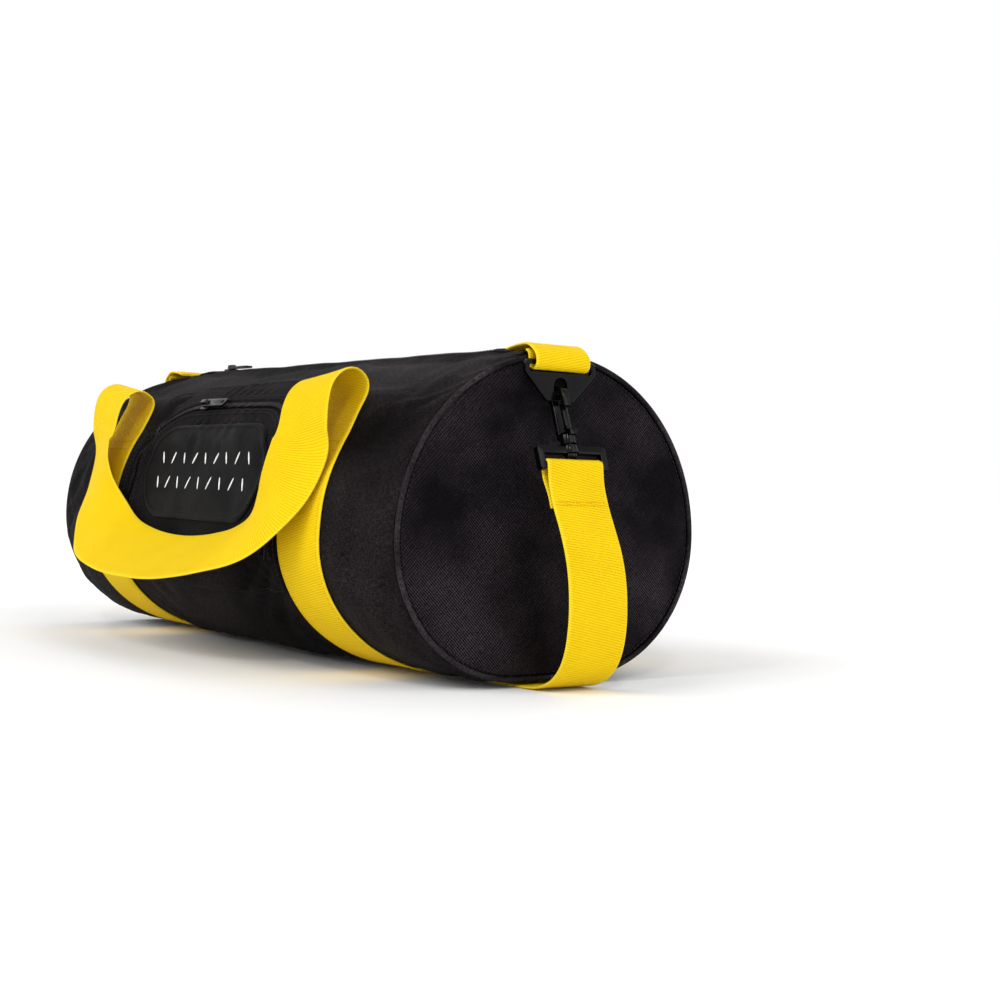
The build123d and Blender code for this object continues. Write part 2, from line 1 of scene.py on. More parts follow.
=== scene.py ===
"""Rope storage bag: the fabric, webbing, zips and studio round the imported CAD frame.

Shapes are worked out in millimetres in the row frame and turned into metres when a mesh is made.
The barrel's skin is one grid; every piece that lies on the barrel reads its place from that grid.
"""

import math

import bmesh
import bpy
import numpy as np
from mathutils import Matrix, Vector


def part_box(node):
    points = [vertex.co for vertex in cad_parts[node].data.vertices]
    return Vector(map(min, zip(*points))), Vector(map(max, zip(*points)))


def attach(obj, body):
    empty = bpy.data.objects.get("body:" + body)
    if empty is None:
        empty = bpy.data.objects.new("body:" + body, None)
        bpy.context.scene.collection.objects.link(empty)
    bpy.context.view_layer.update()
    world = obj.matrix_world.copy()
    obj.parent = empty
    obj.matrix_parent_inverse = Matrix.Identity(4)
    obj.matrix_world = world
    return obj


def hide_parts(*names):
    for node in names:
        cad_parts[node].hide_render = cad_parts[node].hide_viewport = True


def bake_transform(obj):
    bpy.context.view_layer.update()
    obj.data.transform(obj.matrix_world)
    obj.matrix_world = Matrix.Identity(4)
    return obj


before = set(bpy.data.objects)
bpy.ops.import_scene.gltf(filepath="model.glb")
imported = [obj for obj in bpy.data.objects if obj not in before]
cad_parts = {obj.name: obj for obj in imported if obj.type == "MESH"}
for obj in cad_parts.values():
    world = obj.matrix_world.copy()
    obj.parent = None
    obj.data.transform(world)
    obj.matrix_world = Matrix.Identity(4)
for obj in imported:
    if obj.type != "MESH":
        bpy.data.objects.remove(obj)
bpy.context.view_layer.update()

MM = 0.001

# Barrel, as in the CAD
FLAT_HALF = 25.0
MID_SECTION = (122.5, 3.4, 86.0, 203.4)
END_SECTION = (114.0, 3.4, 88.0, 200.0)
SEAM_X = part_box("piping_right")[0].x / MM
SHOULDER_START = 184.0
SLOT_HALF = 8.0
SLOT_END = 192.0

# Webbing
WEB = 50.0
TAB = 41.0
STRAP = 42.0
WEB_THICK = 1.5
HOOP_X = 147.0
HOOP_TOP_Z = 148.0
HOOP_MIDDLE = 0.9  # middle of the hoop's webbing above the skin
HARDWARE_Y = (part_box("ring_right")[0].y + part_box("ring_right")[1].y) / 2 / MM

# Pocket
POCKET_HALF = 121.2
POCKET_LOW_Z = 48.0
POCKET_HIGH_Z = 184.0
POCKET_TILT = math.radians(30.0)
POCKET_MIDDLE_Z = 150.0
ARCH_TOP = 21.5
ARCH_FLAT = 50.0
ARCH_RADIUS = 55.0
ARCH_LEG = 45.0
PATCH_HALF = (88.0, 33.0)
PATCH_MIDDLE = -29.0

# End panels
PANEL_THICK = 1.1

# Grid of the skin, and the points along each line of its sections
GRID_X = 81
GRID_U = 120
SECTION_POINTS = 400
FLOOR_POINTS = 40

# Strap's bar: the pivot of the hook's tilt
STRAP_BAR_X = 261.55
STRAP_BAR_Z = 132.83

# Meshes
WELD = 2e-6  # metres
SHARP = math.radians(58)

# Section of woven webbing: places across it, and how thick it is there as a share of WEB_THICK
WEB_SHARE = np.array([0.0, 0.012, 0.035, 0.06, 0.1, 0.2, 0.35, 0.5, 0.65, 0.8, 0.9, 0.94, 0.965, 0.988, 1.0])
WEB_SWELL = np.array([0.15, 0.75, 1.06, 1.1, 1.0, 0.97, 0.96, 0.96, 0.96, 0.97, 1.0, 1.1, 1.06, 0.75, 0.15])

# Folds: how many waves, their shortest and longest length, and the seed of their directions
BROAD_FOLDS = (6, 90, 210, 11)
FINE_FOLDS = (5, 36, 80, 12)
SEAM_PULLS = (6, 17, 36, 13)
ZIP_SLACK = (5, 34, 70, 14)
RING_FOLDS = (5, 20, 44, 16)
PANEL_SAG = (6, 110, 240, 31)
PANEL_FOLDS = (6, 45, 90, 32)
POCKET_SAG = (5, 50, 120, 41)

# Colours
BLACK = (0.0011, 0.0008, 0.001)
JET = (0.0008, 0.0008, 0.001)
SOOT = (0.0015, 0.0015, 0.0018)
# The groove yellow is painted shade, darker where the webbing's ribs dip
YELLOW_GROOVE_SHADE = (0.57, 0.33, 0.0004)
YELLOW_FACE = (0.80, 0.548, 0.001)
YELLOW_EDGE = (0.83, 0.60, 0.02)
THREAD_GRAIN = 2500.0

# Both ends and both faces of the bag
SIDES = (("right", 1), ("left", -1))
FRONT_BACK = (("front", 1), ("back", -1))
MIRROR_X = {"right": np.ones(3), "left": np.array([-1.0, 1.0, 1.0])}
MIRROR_Y = {"front": np.ones(3), "back": np.array([1.0, -1.0, 1.0])}

# Settling of the barrel's cloth
SETTLE_FRAMES = 25
SETTLE_MOST = 4.5
SETTLE = dict(
    quality=6, mass=0.25, tension_stiffness=40, compression_stiffness=40, shear_stiffness=12,
    bending_stiffness=0.6, pin_stiffness=1, shrink_min=-0.012, uniform_pressure_force=0.6,
)

# The photograph's camera, in the row frame
PHOTO_PLACE = (985.4, -604.2, 122.7)
PHOTO_FORWARD = (-0.79858, 0.60177, -0.012217)
PHOTO_ROLL = math.radians(1.7)
PHOTO_LENS = 57.6
PHOTO_SENSOR = 36.0


# ---- small helpers


def unit(v):
    return v / np.maximum(np.linalg.norm(v, axis=-1, keepdims=True), 1e-9)


def ease(t):
    t = np.clip(t, 0.0, 1.0)
    return t * t * (3 - 2 * t)


def bell(t):
    """1 at 0, 0 from 1 on, smooth between."""
    return 1 - ease(np.abs(t))


def waves(x, y, count, low, high, seed):
    """A sum of plane waves of random direction, wavelengths between low and high."""
    source = np.random.default_rng(seed)
    total = 0.0
    for _ in range(count):
        angle, phase = source.uniform(0, math.tau, 2)
        length = source.uniform(low, high)
        total = total + np.sin((x * math.cos(angle) + y * math.sin(angle)) * math.tau / length + phase)
    return total / math.sqrt(count)


def grid_of(*parts):
    """Arrays that broadcast to one grid, side by side in the last axis."""
    return np.stack(np.broadcast_arrays(*parts), -1)


def cubic(values, t):
    """Catmull-Rom value at t between the second and third of four values."""
    a, b, c, d = values
    return 0.5 * (2 * b + (c - a) * t + (2 * a - 5 * b + 4 * c - d) * t**2 + (3 * b - a - 3 * c + d) * t**3)


def spline(points, step):
    """Catmull-Rom curve through points of any dimension, in even steps of the first three."""
    p = np.array(points, float)
    p = np.vstack([2 * p[0] - p[1], p, 2 * p[-1] - p[-2]])
    t = np.linspace(0, 1, 24, endpoint=False)[:, None]
    fine = [cubic(four, t) for four in zip(p[:-3], p[1:-2], p[2:-1], p[3:])]
    return resample(np.vstack([*fine, p[-2]]), step)


def resample(path, step):
    """The same path in even steps of its first three columns."""
    run = length_along(path[:, :3])
    count = max(2, int(round(run[-1] / step)) + 1)
    at = np.linspace(0, run[-1], count)
    return np.stack([np.interp(at, run, path[:, k]) for k in range(path.shape[1])], 1)


def length_along(path):
    return np.concatenate([[0], np.cumsum(np.linalg.norm(np.diff(path, axis=0), axis=1))])


# ---- meshes


def put(name, data):
    """A new object in the scene."""
    made = bpy.data.objects.new(name, data)
    bpy.context.scene.collection.objects.link(made)
    return made


def make(name, verts, faces, material, uv=None, face_uv=None):
    """A mesh object from millimetres. uv is per vertex; face_uv is per face corner."""
    mesh = bpy.data.meshes.new(name)
    mesh.from_pydata((np.asarray(verts) * MM).tolist(), [], [list(map(int, f)) for f in faces])
    layer = mesh.uv_layers.new(name="cloth")
    if face_uv is None:
        loops = np.zeros(len(mesh.loops), int)
        mesh.loops.foreach_get("vertex_index", loops)
        face_uv = uv[loops]
    layer.data.foreach_set("uv", np.asarray(face_uv, np.float32).ravel())
    bm = bmesh.new()
    bm.from_mesh(mesh)
    bmesh.ops.remove_doubles(bm, verts=bm.verts, dist=WELD)
    bmesh.ops.recalc_face_normals(bm, faces=bm.faces)
    bm.to_mesh(mesh)
    bm.free()
    mesh.polygons.foreach_set("use_smooth", np.ones(len(mesh.polygons), bool))
    mesh.set_sharp_from_angle(angle=SHARP)
    mesh.materials.append(material)
    return put(name, mesh)


def cells(grid):
    """The four corners of each cell of a grid, going round it, one cell after another."""
    corners = np.stack([grid[:-1, :-1], grid[1:, :-1], grid[1:, 1:], grid[:-1, 1:]], 2)
    return corners.reshape(-1, 4, *grid.shape[2:])


def slab(name, top, low, uv, material, wrap=False, core=False):
    """A closed thin solid between two grids.

    wrap joins the last row to the first, and uv then has one row more than the points. core means that the
    first column has no rim, because its points meet in the middle."""
    n, m = top.shape[:2]
    index = np.arange(n * m).reshape(n, m)
    if wrap:
        index = np.vstack([index, index[:1]])
    quads, flat = cells(index), cells(uv)
    faces = [quads, quads[:, ::-1] + n * m]
    corners = [flat.reshape(-1, 2), flat[:, ::-1].reshape(-1, 2)]
    rims = [(index[:, -1][::-1], uv[:, -1][::-1])]
    if not core:
        rims.append((index[:, 0], uv[:, 0]))
    if not wrap:
        rims += [(index[0, ::-1], uv[0, ::-1]), (index[-1], uv[-1])]
    for row, row_uv in rims:
        a, b = row[:-1], row[1:]
        faces.append(np.stack([b, a, a + n * m, b + n * m], -1))
        ua, ub = row_uv[:-1], row_uv[1:]
        corners.append(np.stack([ub, ua, ua, ub], -2).reshape(-1, 2))
    verts = np.vstack([top.reshape(-1, 3), low.reshape(-1, 3)])
    return make(name, verts, np.vstack(faces), material, face_uv=np.vstack(corners))


def tube(name, path, out, shape, material):
    """An outline swept round a closed path: shape is (k, 2) in (out, side), out the outward direction."""
    n, k = len(path), len(shape)
    along = unit(np.roll(path, -1, 0) - np.roll(path, 1, 0))
    out = unit(out - along * np.sum(out * along, -1, keepdims=True))
    side = np.cross(along, out)
    rings = path[:, None] + out[:, None] * shape[None, :, :1] + side[:, None] * shape[None, :, 1:]
    index = np.arange(n * k).reshape(n, k)
    index = np.hstack([index, index[:, :1]])
    index = np.vstack([index, index[:1]])
    around = length_along(np.vstack([shape, shape[:1]]))
    run = length_along(np.vstack([path, path[:1]]))
    uv = grid_of(around[None, :], run[:, None])
    return make(name, rings.reshape(-1, 3), cells(index), material, face_uv=cells(uv).reshape(-1, 2))


def beads(name, centres, along, up, half, material, sides=6):
    """Small rounded bars, one mesh: centres, directions and half sizes (along, across, up)."""
    template = [(-1.0, 0.0, 0.0)]
    for at, size in ((-0.8, 0.62), (0.0, 1.0), (0.8, 0.62)):
        for turn in np.linspace(0, math.tau, sides, endpoint=False):
            template.append((at, size * math.cos(turn), size * math.sin(turn)))
    template = np.array([*template, (1.0, 0.0, 0.0)])
    last = len(template) - 1
    faces = [[0, 1 + (s + 1) % sides, 1 + s] for s in range(sides)]
    for low in (1, 1 + sides):
        for s in range(sides):
            after = (s + 1) % sides
            faces.append([low + s, low + after, low + sides + after, low + sides + s])
    low = 1 + 2 * sides
    faces += [[low + s, low + (s + 1) % sides, last] for s in range(sides)]
    along, up = unit(along), unit(up)
    across = unit(np.cross(up, along))
    up = np.cross(along, across)
    half = np.broadcast_to(np.asarray(half, float), (len(centres), 3))
    verts = (
        centres[:, None]
        + along[:, None] * (template[:, 0] * half[:, :1])[..., None]
        + across[:, None] * (template[:, 1] * half[:, 1:2])[..., None]
        + up[:, None] * (template[:, 2] * half[:, 2:])[..., None]
    )
    every = []
    for k in range(len(centres)):
        every += [[v + k * len(template) for v in f] for f in faces]
    uv = np.tile(template[:, :2], (len(centres), 1))
    return make(name, verts.reshape(-1, 3), every, material, uv=uv)


def stitches(name, rows, material, pitch, length=2.3, thick=0.42, lift=0.1):
    """Rows of thread: each row is (points, normals), both (n, 3)."""
    centres, along, up = [], [], []
    for points, normals in rows:
        both = resample(np.hstack([points, normals]), pitch)
        p, n = both[:, :3], unit(both[:, 3:])
        step = np.diff(p, axis=0)
        centres.append((p[:-1] + p[1:]) / 2 + n[:-1] * lift)
        along.append(step)
        up.append(n[:-1])
    centres, along, up = np.vstack(centres), np.vstack(along), np.vstack(up)
    return beads(name, centres, along, up, (length / 2, thick, thick * 0.8), material)


def ribbon_grid(centre, across, width):
    """Top and low surfaces of webbing, and their UVs: rounded, slightly thicker edges."""
    along = unit(np.gradient(centre, axis=0))
    across = unit(across - along * np.sum(across * along, -1, keepdims=True))
    normal = np.cross(along, across)
    place = centre[:, None] + across[:, None] * ((WEB_SHARE - 0.5) * width)[None, :, None]
    rise = normal[:, None] * (WEB_SWELL * WEB_THICK / 2)[None, :, None]
    uv = grid_of((WEB_SHARE * width)[None, :], length_along(centre)[:, None])
    return place + rise, place - rise, uv


# ---- materials


def new_material(name, **sockets):
    material = bpy.data.materials.new(name)
    material.use_nodes = True
    tree = material.node_tree
    shader = tree.nodes["Principled BSDF"]
    for socket, value in sockets.items():
        shader.inputs[socket.replace("_", " ")].default_value = value
    return material, tree, shader


def add(tree, kind, inputs=(), **settings):
    made = tree.nodes.new("ShaderNode" + kind)
    for key, value in settings.items():
        setattr(made, key, value)
    for key, value in dict(inputs).items():
        if isinstance(value, bpy.types.NodeSocket):
            tree.links.new(value, made.inputs[key])
        else:
            made.inputs[key].default_value = value
    return made


def calc(tree, operation, a, b=0.0, c=0.0):
    return add(tree, "Math", {0: a, 1: b, 2: c}, operation=operation).outputs[0]


def times(tree, a, b):
    return calc(tree, "MULTIPLY", a, b)


def dress(tree, shader, colour, roughness, normal):
    """Link a material's finished colour, roughness and normal."""
    for socket, value in (("Base Color", colour), ("Roughness", roughness), ("Normal", normal)):
        tree.links.new(value, shader.inputs[socket])


def cloth_uv(tree):
    uv = add(tree, "UVMap", uv_map="cloth")
    parts = add(tree, "SeparateXYZ", {0: uv.outputs[0]})
    return uv.outputs[0], parts.outputs[0], parts.outputs[1]


def noise(tree, vector, scale, detail=2.0, rough=0.5):
    made = add(tree, "TexNoise", {"Vector": vector, "Scale": scale, "Detail": detail, "Roughness": rough})
    return made.outputs[0]


def ramp(tree, factor, stops):
    made = add(tree, "ValToRGB", {0: factor})
    elements = made.color_ramp.elements
    while len(elements) < len(stops):
        elements.new(0.5)
    for element, (place, colour) in zip(elements, stops):
        element.position = place
        element.color = (*colour, 1.0)
    return made.outputs[0]


def mix(tree, factor, a, b):
    made = add(tree, "Mix", data_type="RGBA")
    for key, value in ((0, factor), (6, a), (7, b)):
        if isinstance(value, bpy.types.NodeSocket):
            tree.links.new(value, made.inputs[key])
        else:
            made.inputs[key].default_value = value
    return made.outputs[2]


def bump(tree, height, distance, strength):
    made = add(tree, "Bump", {"Height": height, "Distance": distance, "Strength": strength})
    return made.outputs[0]


def map_range(tree, value, start, end, to_start, to_end):
    return add(tree, "MapRange", {0: value, 1: start, 2: end, 3: to_start, 4: to_end}).outputs[0]


def wave(tree, value, pitch):
    return calc(tree, "SINE", times(tree, value, math.tau / pitch))


def streaks(tree, u, v, across, along):
    """Noise drawn out along one yarn direction."""
    u, v = times(tree, u, across), times(tree, v, along)
    place = add(tree, "CombineXYZ", {0: u, 1: v})
    return noise(tree, place.outputs[0], 1.0, 2.0, 0.6)


def weave_fabric(
    name, dark, light, pitch=1.5, twill=False, rough=(0.6, 0.85), yarn_share=0.5, sheen_patch_size=70.0
):
    """Coated pack cloth: crossing yarns and slubs, and broad patches painted brighter in some places than
    others as painted sheen.
    """
    material, tree, shader = new_material(name, Specular_IOR_Level=0.045)
    uv, u, v = cloth_uv(tree)
    if twill:
        first = wave(tree, calc(tree, "ADD", u, v), pitch)
        second = wave(tree, calc(tree, "SUBTRACT", u, v), pitch * 1.4)
        yarn = calc(tree, "MULTIPLY_ADD", second, 0.5, first)
    else:
        yarn = times(tree, wave(tree, u, pitch), wave(tree, v, pitch))
    slub = calc(tree, "ADD", streaks(tree, u, v, 1.3, 0.34), streaks(tree, u, v, 0.34, 1.3))
    slub = times(tree, slub, 0.5)
    sheen_patches = noise(tree, uv, 1.0 / sheen_patch_size, 3.0, 0.55)
    threads = calc(tree, "MULTIPLY_ADD", slub, 2.6, -0.87)
    threads = calc(tree, "MULTIPLY_ADD", yarn, yarn_share * 0.5, threads)
    # painted sheen: broad random patches brighten the colour where light would catch the cloth
    painted_sheen = map_range(tree, sheen_patches, 0.36, 0.66, 0.18, 1.0)
    shown = times(tree, threads, painted_sheen)
    colour = ramp(tree, shown, [(0.08, dark), (0.92, light)])
    roughness = map_range(tree, slub, 0.3, 0.7, rough[1], rough[0])
    height = calc(tree, "MULTIPLY_ADD", yarn, 0.5, slub)
    dress(tree, shader, colour, roughness, bump(tree, height, 0.00025, 0.8))
    return material


def webbing_material(name, width):
    """Ribbed nylon webbing: ribs across with painted shade in their grooves, fine ends along, paler
    selvedges, light scuffing.
    """
    material, tree, shader = new_material(name, Specular_IOR_Level=0.1)
    uv, u, v = cloth_uv(tree)
    slant = calc(tree, "MULTIPLY_ADD", u, 0.22, v)
    ribs = calc(tree, "ABSOLUTE", wave(tree, slant, 3.1))
    ribs = calc(tree, "POWER", ribs, 0.6)
    ends = wave(tree, u, 1.2)
    fuzz = noise(tree, uv, 0.9, 3.0, 0.65)
    patchy = noise(tree, uv, 0.03, 2.0)
    tone = calc(tree, "MULTIPLY_ADD", fuzz, 0.6, times(tree, patchy, 0.3))
    tone = calc(tree, "MULTIPLY_ADD", ribs, 0.4, tone)
    tone = calc(tree, "MULTIPLY_ADD", ends, 0.04, tone)
    # painted shade: the ramp runs down to the darker groove yellow in the ribs' grooves; the rest of the tone
    # is random
    colour = ramp(tree, tone, [(0.3, YELLOW_GROOVE_SHADE), (0.8, YELLOW_FACE)])
    aside = calc(tree, "ABSOLUTE", calc(tree, "SUBTRACT", u, width / 2))
    border = map_range(tree, aside, width / 2 - 2.2, width / 2 - 0.8, 0.0, 0.75)
    colour = mix(tree, border, colour, (*YELLOW_EDGE, 1.0))
    roughness = map_range(tree, tone, 0.3, 1.1, 0.85, 0.6)
    height = calc(tree, "MULTIPLY_ADD", ends, 0.12, calc(tree, "MULTIPLY_ADD", fuzz, 0.3, ribs))
    dress(tree, shader, colour, roughness, bump(tree, height, 0.00035, 0.8))
    return material


def moulded(name, dark, light, rough, grain=900.0, shine=0.3):
    """Moulded or enamelled hardware: near-even colour, fine grain, rubbed patches."""
    material, tree, shader = new_material(name, Specular_IOR_Level=shine)
    place = add(tree, "TexCoord").outputs["Object"]
    cloud = noise(tree, place, 60.0, 3.0)
    colour = ramp(tree, cloud, [(0.3, dark), (0.75, light)])
    grained = bump(tree, noise(tree, place, grain), 0.00003, 0.6)
    dress(tree, shader, colour, map_range(tree, cloud, 0.3, 0.7, *rough), grained)
    return material


fabric = weave_fabric("barrel_cloth", BLACK, (0.036, 0.0285, 0.0315), sheen_patch_size=120.0)
end_fabric = weave_fabric(
    "end_cloth", (0.0014, 0.001, 0.0014), (0.046, 0.037, 0.045),
    pitch=1.9, twill=True, yarn_share=0.9, sheen_patch_size=75.0,
)
pocket_fabric = weave_fabric("pocket_cloth", BLACK, (0.026, 0.0205, 0.023), sheen_patch_size=120.0)
# The piping's cloth is painted lighter than the other black cloth: a painted highlight along the piping
piping_cloth_painted_highlight = weave_fabric(
    "piping_cloth_painted_highlight", (0.005, 0.004, 0.005), (0.085, 0.074, 0.084), pitch=1.1, rough=(0.45, 0.7)
)
tape_cloth = weave_fabric(
    "zip_tape_cloth", (0.0012, 0.0012, 0.0014), (0.014, 0.0132, 0.014), pitch=0.9, twill=True
)
binding_cloth = weave_fabric("binding_cloth", (0.004, 0.004, 0.0045), (0.022, 0.021, 0.0225), pitch=1.0)
webbing = webbing_material("yellow_webbing", WEB)
tab_webbing = webbing_material("yellow_tab_webbing", TAB)
strap_webbing = webbing_material("yellow_strap_webbing", STRAP)
yellow_thread = moulded(
    "yellow_thread", (0.58, 0.33, 0.001), (0.78, 0.50, 0.003), (0.6, 0.8), THREAD_GRAIN, shine=0.1
)
black_thread = moulded(
    "black_thread", (0.003, 0.003, 0.0035), (0.02, 0.018, 0.02), (0.5, 0.7), THREAD_GRAIN, shine=0.15
)
hardware = moulded("black_acetal", JET, (0.0022, 0.0022, 0.0026), (0.12, 0.22), shine=0.16)
enamel = moulded("black_enamel", SOOT, (0.004, 0.004, 0.0045), (0.16, 0.26), shine=0.2)
coil_nylon = moulded("coil_nylon", SOOT, (0.005, 0.005, 0.0055), (0.25, 0.4), shine=0.18)
patch_rubber = moulded("patch_rubber", JET, (0.002, 0.002, 0.0023), (0.4, 0.58), 700.0, shine=0.05)
white_ink = moulded("white_ink", (0.66, 0.66, 0.66), (0.78, 0.78, 0.78), (0.4, 0.6), shine=0.3)


# ---- barrel skin


def section(half_width, low, wide, top):
    """Y and Z round one side of the section, from the top's middle to the bottom's, by share of length."""
    turn = np.linspace(math.pi / 2, 0, SECTION_POINTS)
    upper = grid_of(half_width * np.cos(turn), wide + (top - wide) * np.sin(turn))
    turn = -turn[::-1][1:]
    side = half_width - FLAT_HALF
    lower = grid_of(FLAT_HALF + side * np.cos(turn), wide + (wide - low) * np.sin(turn))
    floor = np.linspace(FLAT_HALF, 0, FLOOR_POINTS)[1:]
    line = np.vstack([upper, lower, grid_of(floor, low)])
    run = length_along(line)
    return run / run[-1], line, run[-1]


MID, END = section(*MID_SECTION), section(*END_SECTION)
HALF_ROUND = MID[2]


def section_point(which, u):
    """Y and Z of a place round a section: u is 0 at the top's middle, -1 at the bottom's over the front,
    1 over the back."""
    u = (np.asarray(u, float) + 1) % 2 - 1
    share, line, _ = which
    y = np.interp(np.abs(u), share, line[:, 0]) * np.sign(u)
    return y, np.interp(np.abs(u), share, line[:, 1])


def share_at(height, above=True):
    """u of a height on the middle section's back side."""
    share, line, _ = MID
    keep = line[:, 1] >= MID_SECTION[2] if above else line[:, 1] <= MID_SECTION[2]
    return float(np.interp(-height, -line[keep, 1], share[keep]))


def hoop_hold(x, u):
    """1 where the webbing hoops are sewn flat to the barrel, fading just beside them."""
    beside = np.maximum(np.abs(np.abs(x) - HOOP_X) - WEB / 2 - 2.0, 0)
    return bell(beside / 16.0) * ease((np.abs(u) - 0.2) / 0.07)


def draw_in(x):
    """0 along the middle, 1 at the end seams."""
    return np.clip((np.abs(x) - SHOULDER_START) / (SEAM_X - SHOULDER_START), 0, 1) ** 1.7


def relief(x, u):
    """How far the cloth stands off the plain barrel: fullness between seams, and soft folds."""
    around = u * HALF_ROUND
    to_seam = SEAM_X - np.abs(x)
    full = 0.7 * bell((np.abs(x) - 196.0) / 26.0) + bell(x / 118.0)
    soft = waves(x, around, *BROAD_FOLDS) * 1.25 + waves(x * 0.55, around, *FINE_FOLDS) * 0.5
    drawn = waves(x * 0.25, around, *SEAM_PULLS) * np.exp(-to_seam / 24.0) * 1.1
    rings = waves(x, around * 0.15, *RING_FOLDS) * 0.6 * bell((np.abs(x) - 203.0) / 32.0)
    zip_line = ease((np.abs(around) - 9.0) / 26.0)
    slack = waves(x, around * 0.3, *ZIP_SLACK) * 0.7 * bell((np.abs(around) - 32.0) / 36.0)
    slack = slack * ease(to_seam / 30.0)
    quiet = 1 - 0.85 * pocket_calm(x, u)
    fold = (soft * ease(to_seam / 40.0) * zip_line + slack) * quiet
    loose = 1 - 0.9 * hoop_hold(x, u)
    off = (full * zip_line * loose + fold * loose + rings * zip_line * loose) * ease(to_seam / 14.0)
    return (off + drawn * ease(to_seam / 4.0)) * off_floor(u)


def off_floor(u, start=0.86, reach=0.1):
    """1 over the bag, fading to 0 where it lies on its flat base."""
    return 1 - ease((np.abs(u) - start) / reach)


def pocket_calm(x, u):
    """1 near the straight run of the pocket's zip, where its slider has to ride on an even surface."""
    return bell((u - ZIP_U) / 0.13) * ease((100.0 - np.abs(x)) / 30.0)


def plain_point(x, u):
    """The barrel without folds."""
    mid_y, mid_z = section_point(MID, u)
    end_y, end_z = section_point(END, u)
    share = draw_in(x)
    return grid_of(x, mid_y + (end_y - mid_y) * share, mid_z + (end_z - mid_z) * share)


def plain_normal(x, u):
    d = 1e-3
    du = plain_point(x, u + d) - plain_point(x, u - d)
    dx = plain_point(x + 0.5, u) - plain_point(x - 0.5, u)
    return unit(np.cross(dx, du))


# The pocket's own plane stands on the barrel at POCKET_MIDDLE_Z, tilted by POCKET_TILT
upper_y, upper_z = MID[1][:SECTION_POINTS].T
pocket_origin = np.array([0.0, -np.interp(-POCKET_MIDDLE_Z, -upper_z, upper_y), POCKET_MIDDLE_Z])
pocket_up = np.array([0.0, math.sin(POCKET_TILT), math.cos(POCKET_TILT)])
front_u = np.linspace(-0.75, -0.05, 500)
front_v = (plain_point(np.zeros(500), front_u) - pocket_origin) @ pocket_up


def pocket_u(v):
    """u on the barrel below a height v in the pocket's own plane."""
    return np.interp(v, front_v, front_u)


ZIP_U = float(pocket_u(ARCH_TOP))
grid_x = np.linspace(-SEAM_X, SEAM_X, GRID_X)
grid_u = np.linspace(-1, 1, GRID_U, endpoint=False)
gx, gu = np.meshgrid(grid_x, grid_u, indexing="ij")
normals = plain_normal(gx, gu)
start_grid = plain_point(gx, gu) + normals * relief(gx, gu)[..., None]


def settle_cloth(points):
    """Cloth simulation of the barrel: slack cloth under light pressure, held at its sewn lines."""
    index = np.arange(GRID_X * GRID_U).reshape(GRID_X, GRID_U)
    index = np.hstack([index, index[:, :1]])
    mesh = bpy.data.meshes.new("settling")
    mesh.from_pydata((points.reshape(-1, 3) * MM).tolist(), [], cells(index).tolist())
    cloth = put("settling", mesh)
    around = np.abs(gu) * HALF_ROUND
    sewn = (SEAM_X - np.abs(gx) < 4.0) | (around < 12.0) | (np.abs(gu) > 0.88)
    held = np.maximum.reduce([sewn * 1.0, hoop_hold(gx, gu), pocket_calm(gx, gu) ** 0.5 * 0.95])
    group = cloth.vertex_groups.new(name="held")
    for vertex, weight in enumerate(held.ravel()):
        if weight > 0.01:
            group.add([vertex], float(min(weight, 1.0)), "REPLACE")
    settings = cloth.modifiers.new("Cloth", "CLOTH").settings
    settings.vertex_group_mass = "held"
    settings.use_pressure = True
    for key, value in SETTLE.items():
        setattr(settings, key, value)
    scene = bpy.context.scene
    for number in range(1, SETTLE_FRAMES + 1):
        scene.frame_set(number)
    settled = cloth.evaluated_get(bpy.context.evaluated_depsgraph_get()).data.vertices
    found = np.zeros(len(settled) * 3)
    settled.foreach_get("co", found)
    found = found.reshape(GRID_X, GRID_U, 3) / MM
    scene.frame_set(1)
    bpy.data.objects.remove(cloth)
    moved = np.sum((found - points) * normals, -1)
    moved = SETTLE_MOST * np.tanh(moved / SETTLE_MOST)
    free = ease((SEAM_X - np.abs(gx)) / 8.0) * ease((around - 10.0) / 12.0) * off_floor(gu, 0.84, 0.08)
    free = free * (1 - hoop_hold(gx, gu))
    return points + normals * (moved * free)[..., None]


skin_grid = settle_cloth(start_grid)


def skin_point(x, u):
    """The settled skin between its grid points."""
    at_x = (np.asarray(x, float) + SEAM_X) / (2 * SEAM_X) * (GRID_X - 1)
    at_u = ((np.asarray(u, float) + 1) % 2) / 2 * GRID_U
    i, j = np.clip(np.floor(at_x).astype(int), 0, GRID_X - 2), np.floor(at_u).astype(int)
    s, t = (at_x - i)[..., None], (at_u - j)[..., None]
    rows = []
    for di in (-1, 0, 1, 2):
        row = np.clip(i + di, 0, GRID_X - 1)
        rows.append(cubic([skin_grid[row, (j + dj) % GRID_U] for dj in (-1, 0, 1, 2)], t))
    return cubic(rows, s)


def skin_normal(x, u):
    dx, du = 1.2, 0.004
    along = skin_point(np.minimum(x + dx, SEAM_X), u) - skin_point(np.maximum(x - dx, -SEAM_X), u)
    round_ = skin_point(x, u + du) - skin_point(x, u - du)
    return unit(np.cross(along, round_))


def skin(x, u, off):
    """Points a distance off the skin; x, u and off broadcast."""
    x, u, off = (np.array(each, float) for each in np.broadcast_arrays(x, u, off))
    return skin_point(x, u) + skin_normal(x, u) * off[..., None]


def seam_row(x, u, off):
    """A row for stitches on the skin."""
    x, u = np.broadcast_arrays(x, u)
    return skin(x, u, off), skin_normal(x, u)


def on_bag(piece, slot_name, *nodes):
    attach(piece, "bag")
    if nodes:
        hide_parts(*nodes)


def sew(name, rows, thread, slot_name, **sizes):
    on_bag(stitches(name, rows, thread, **sizes), slot_name)


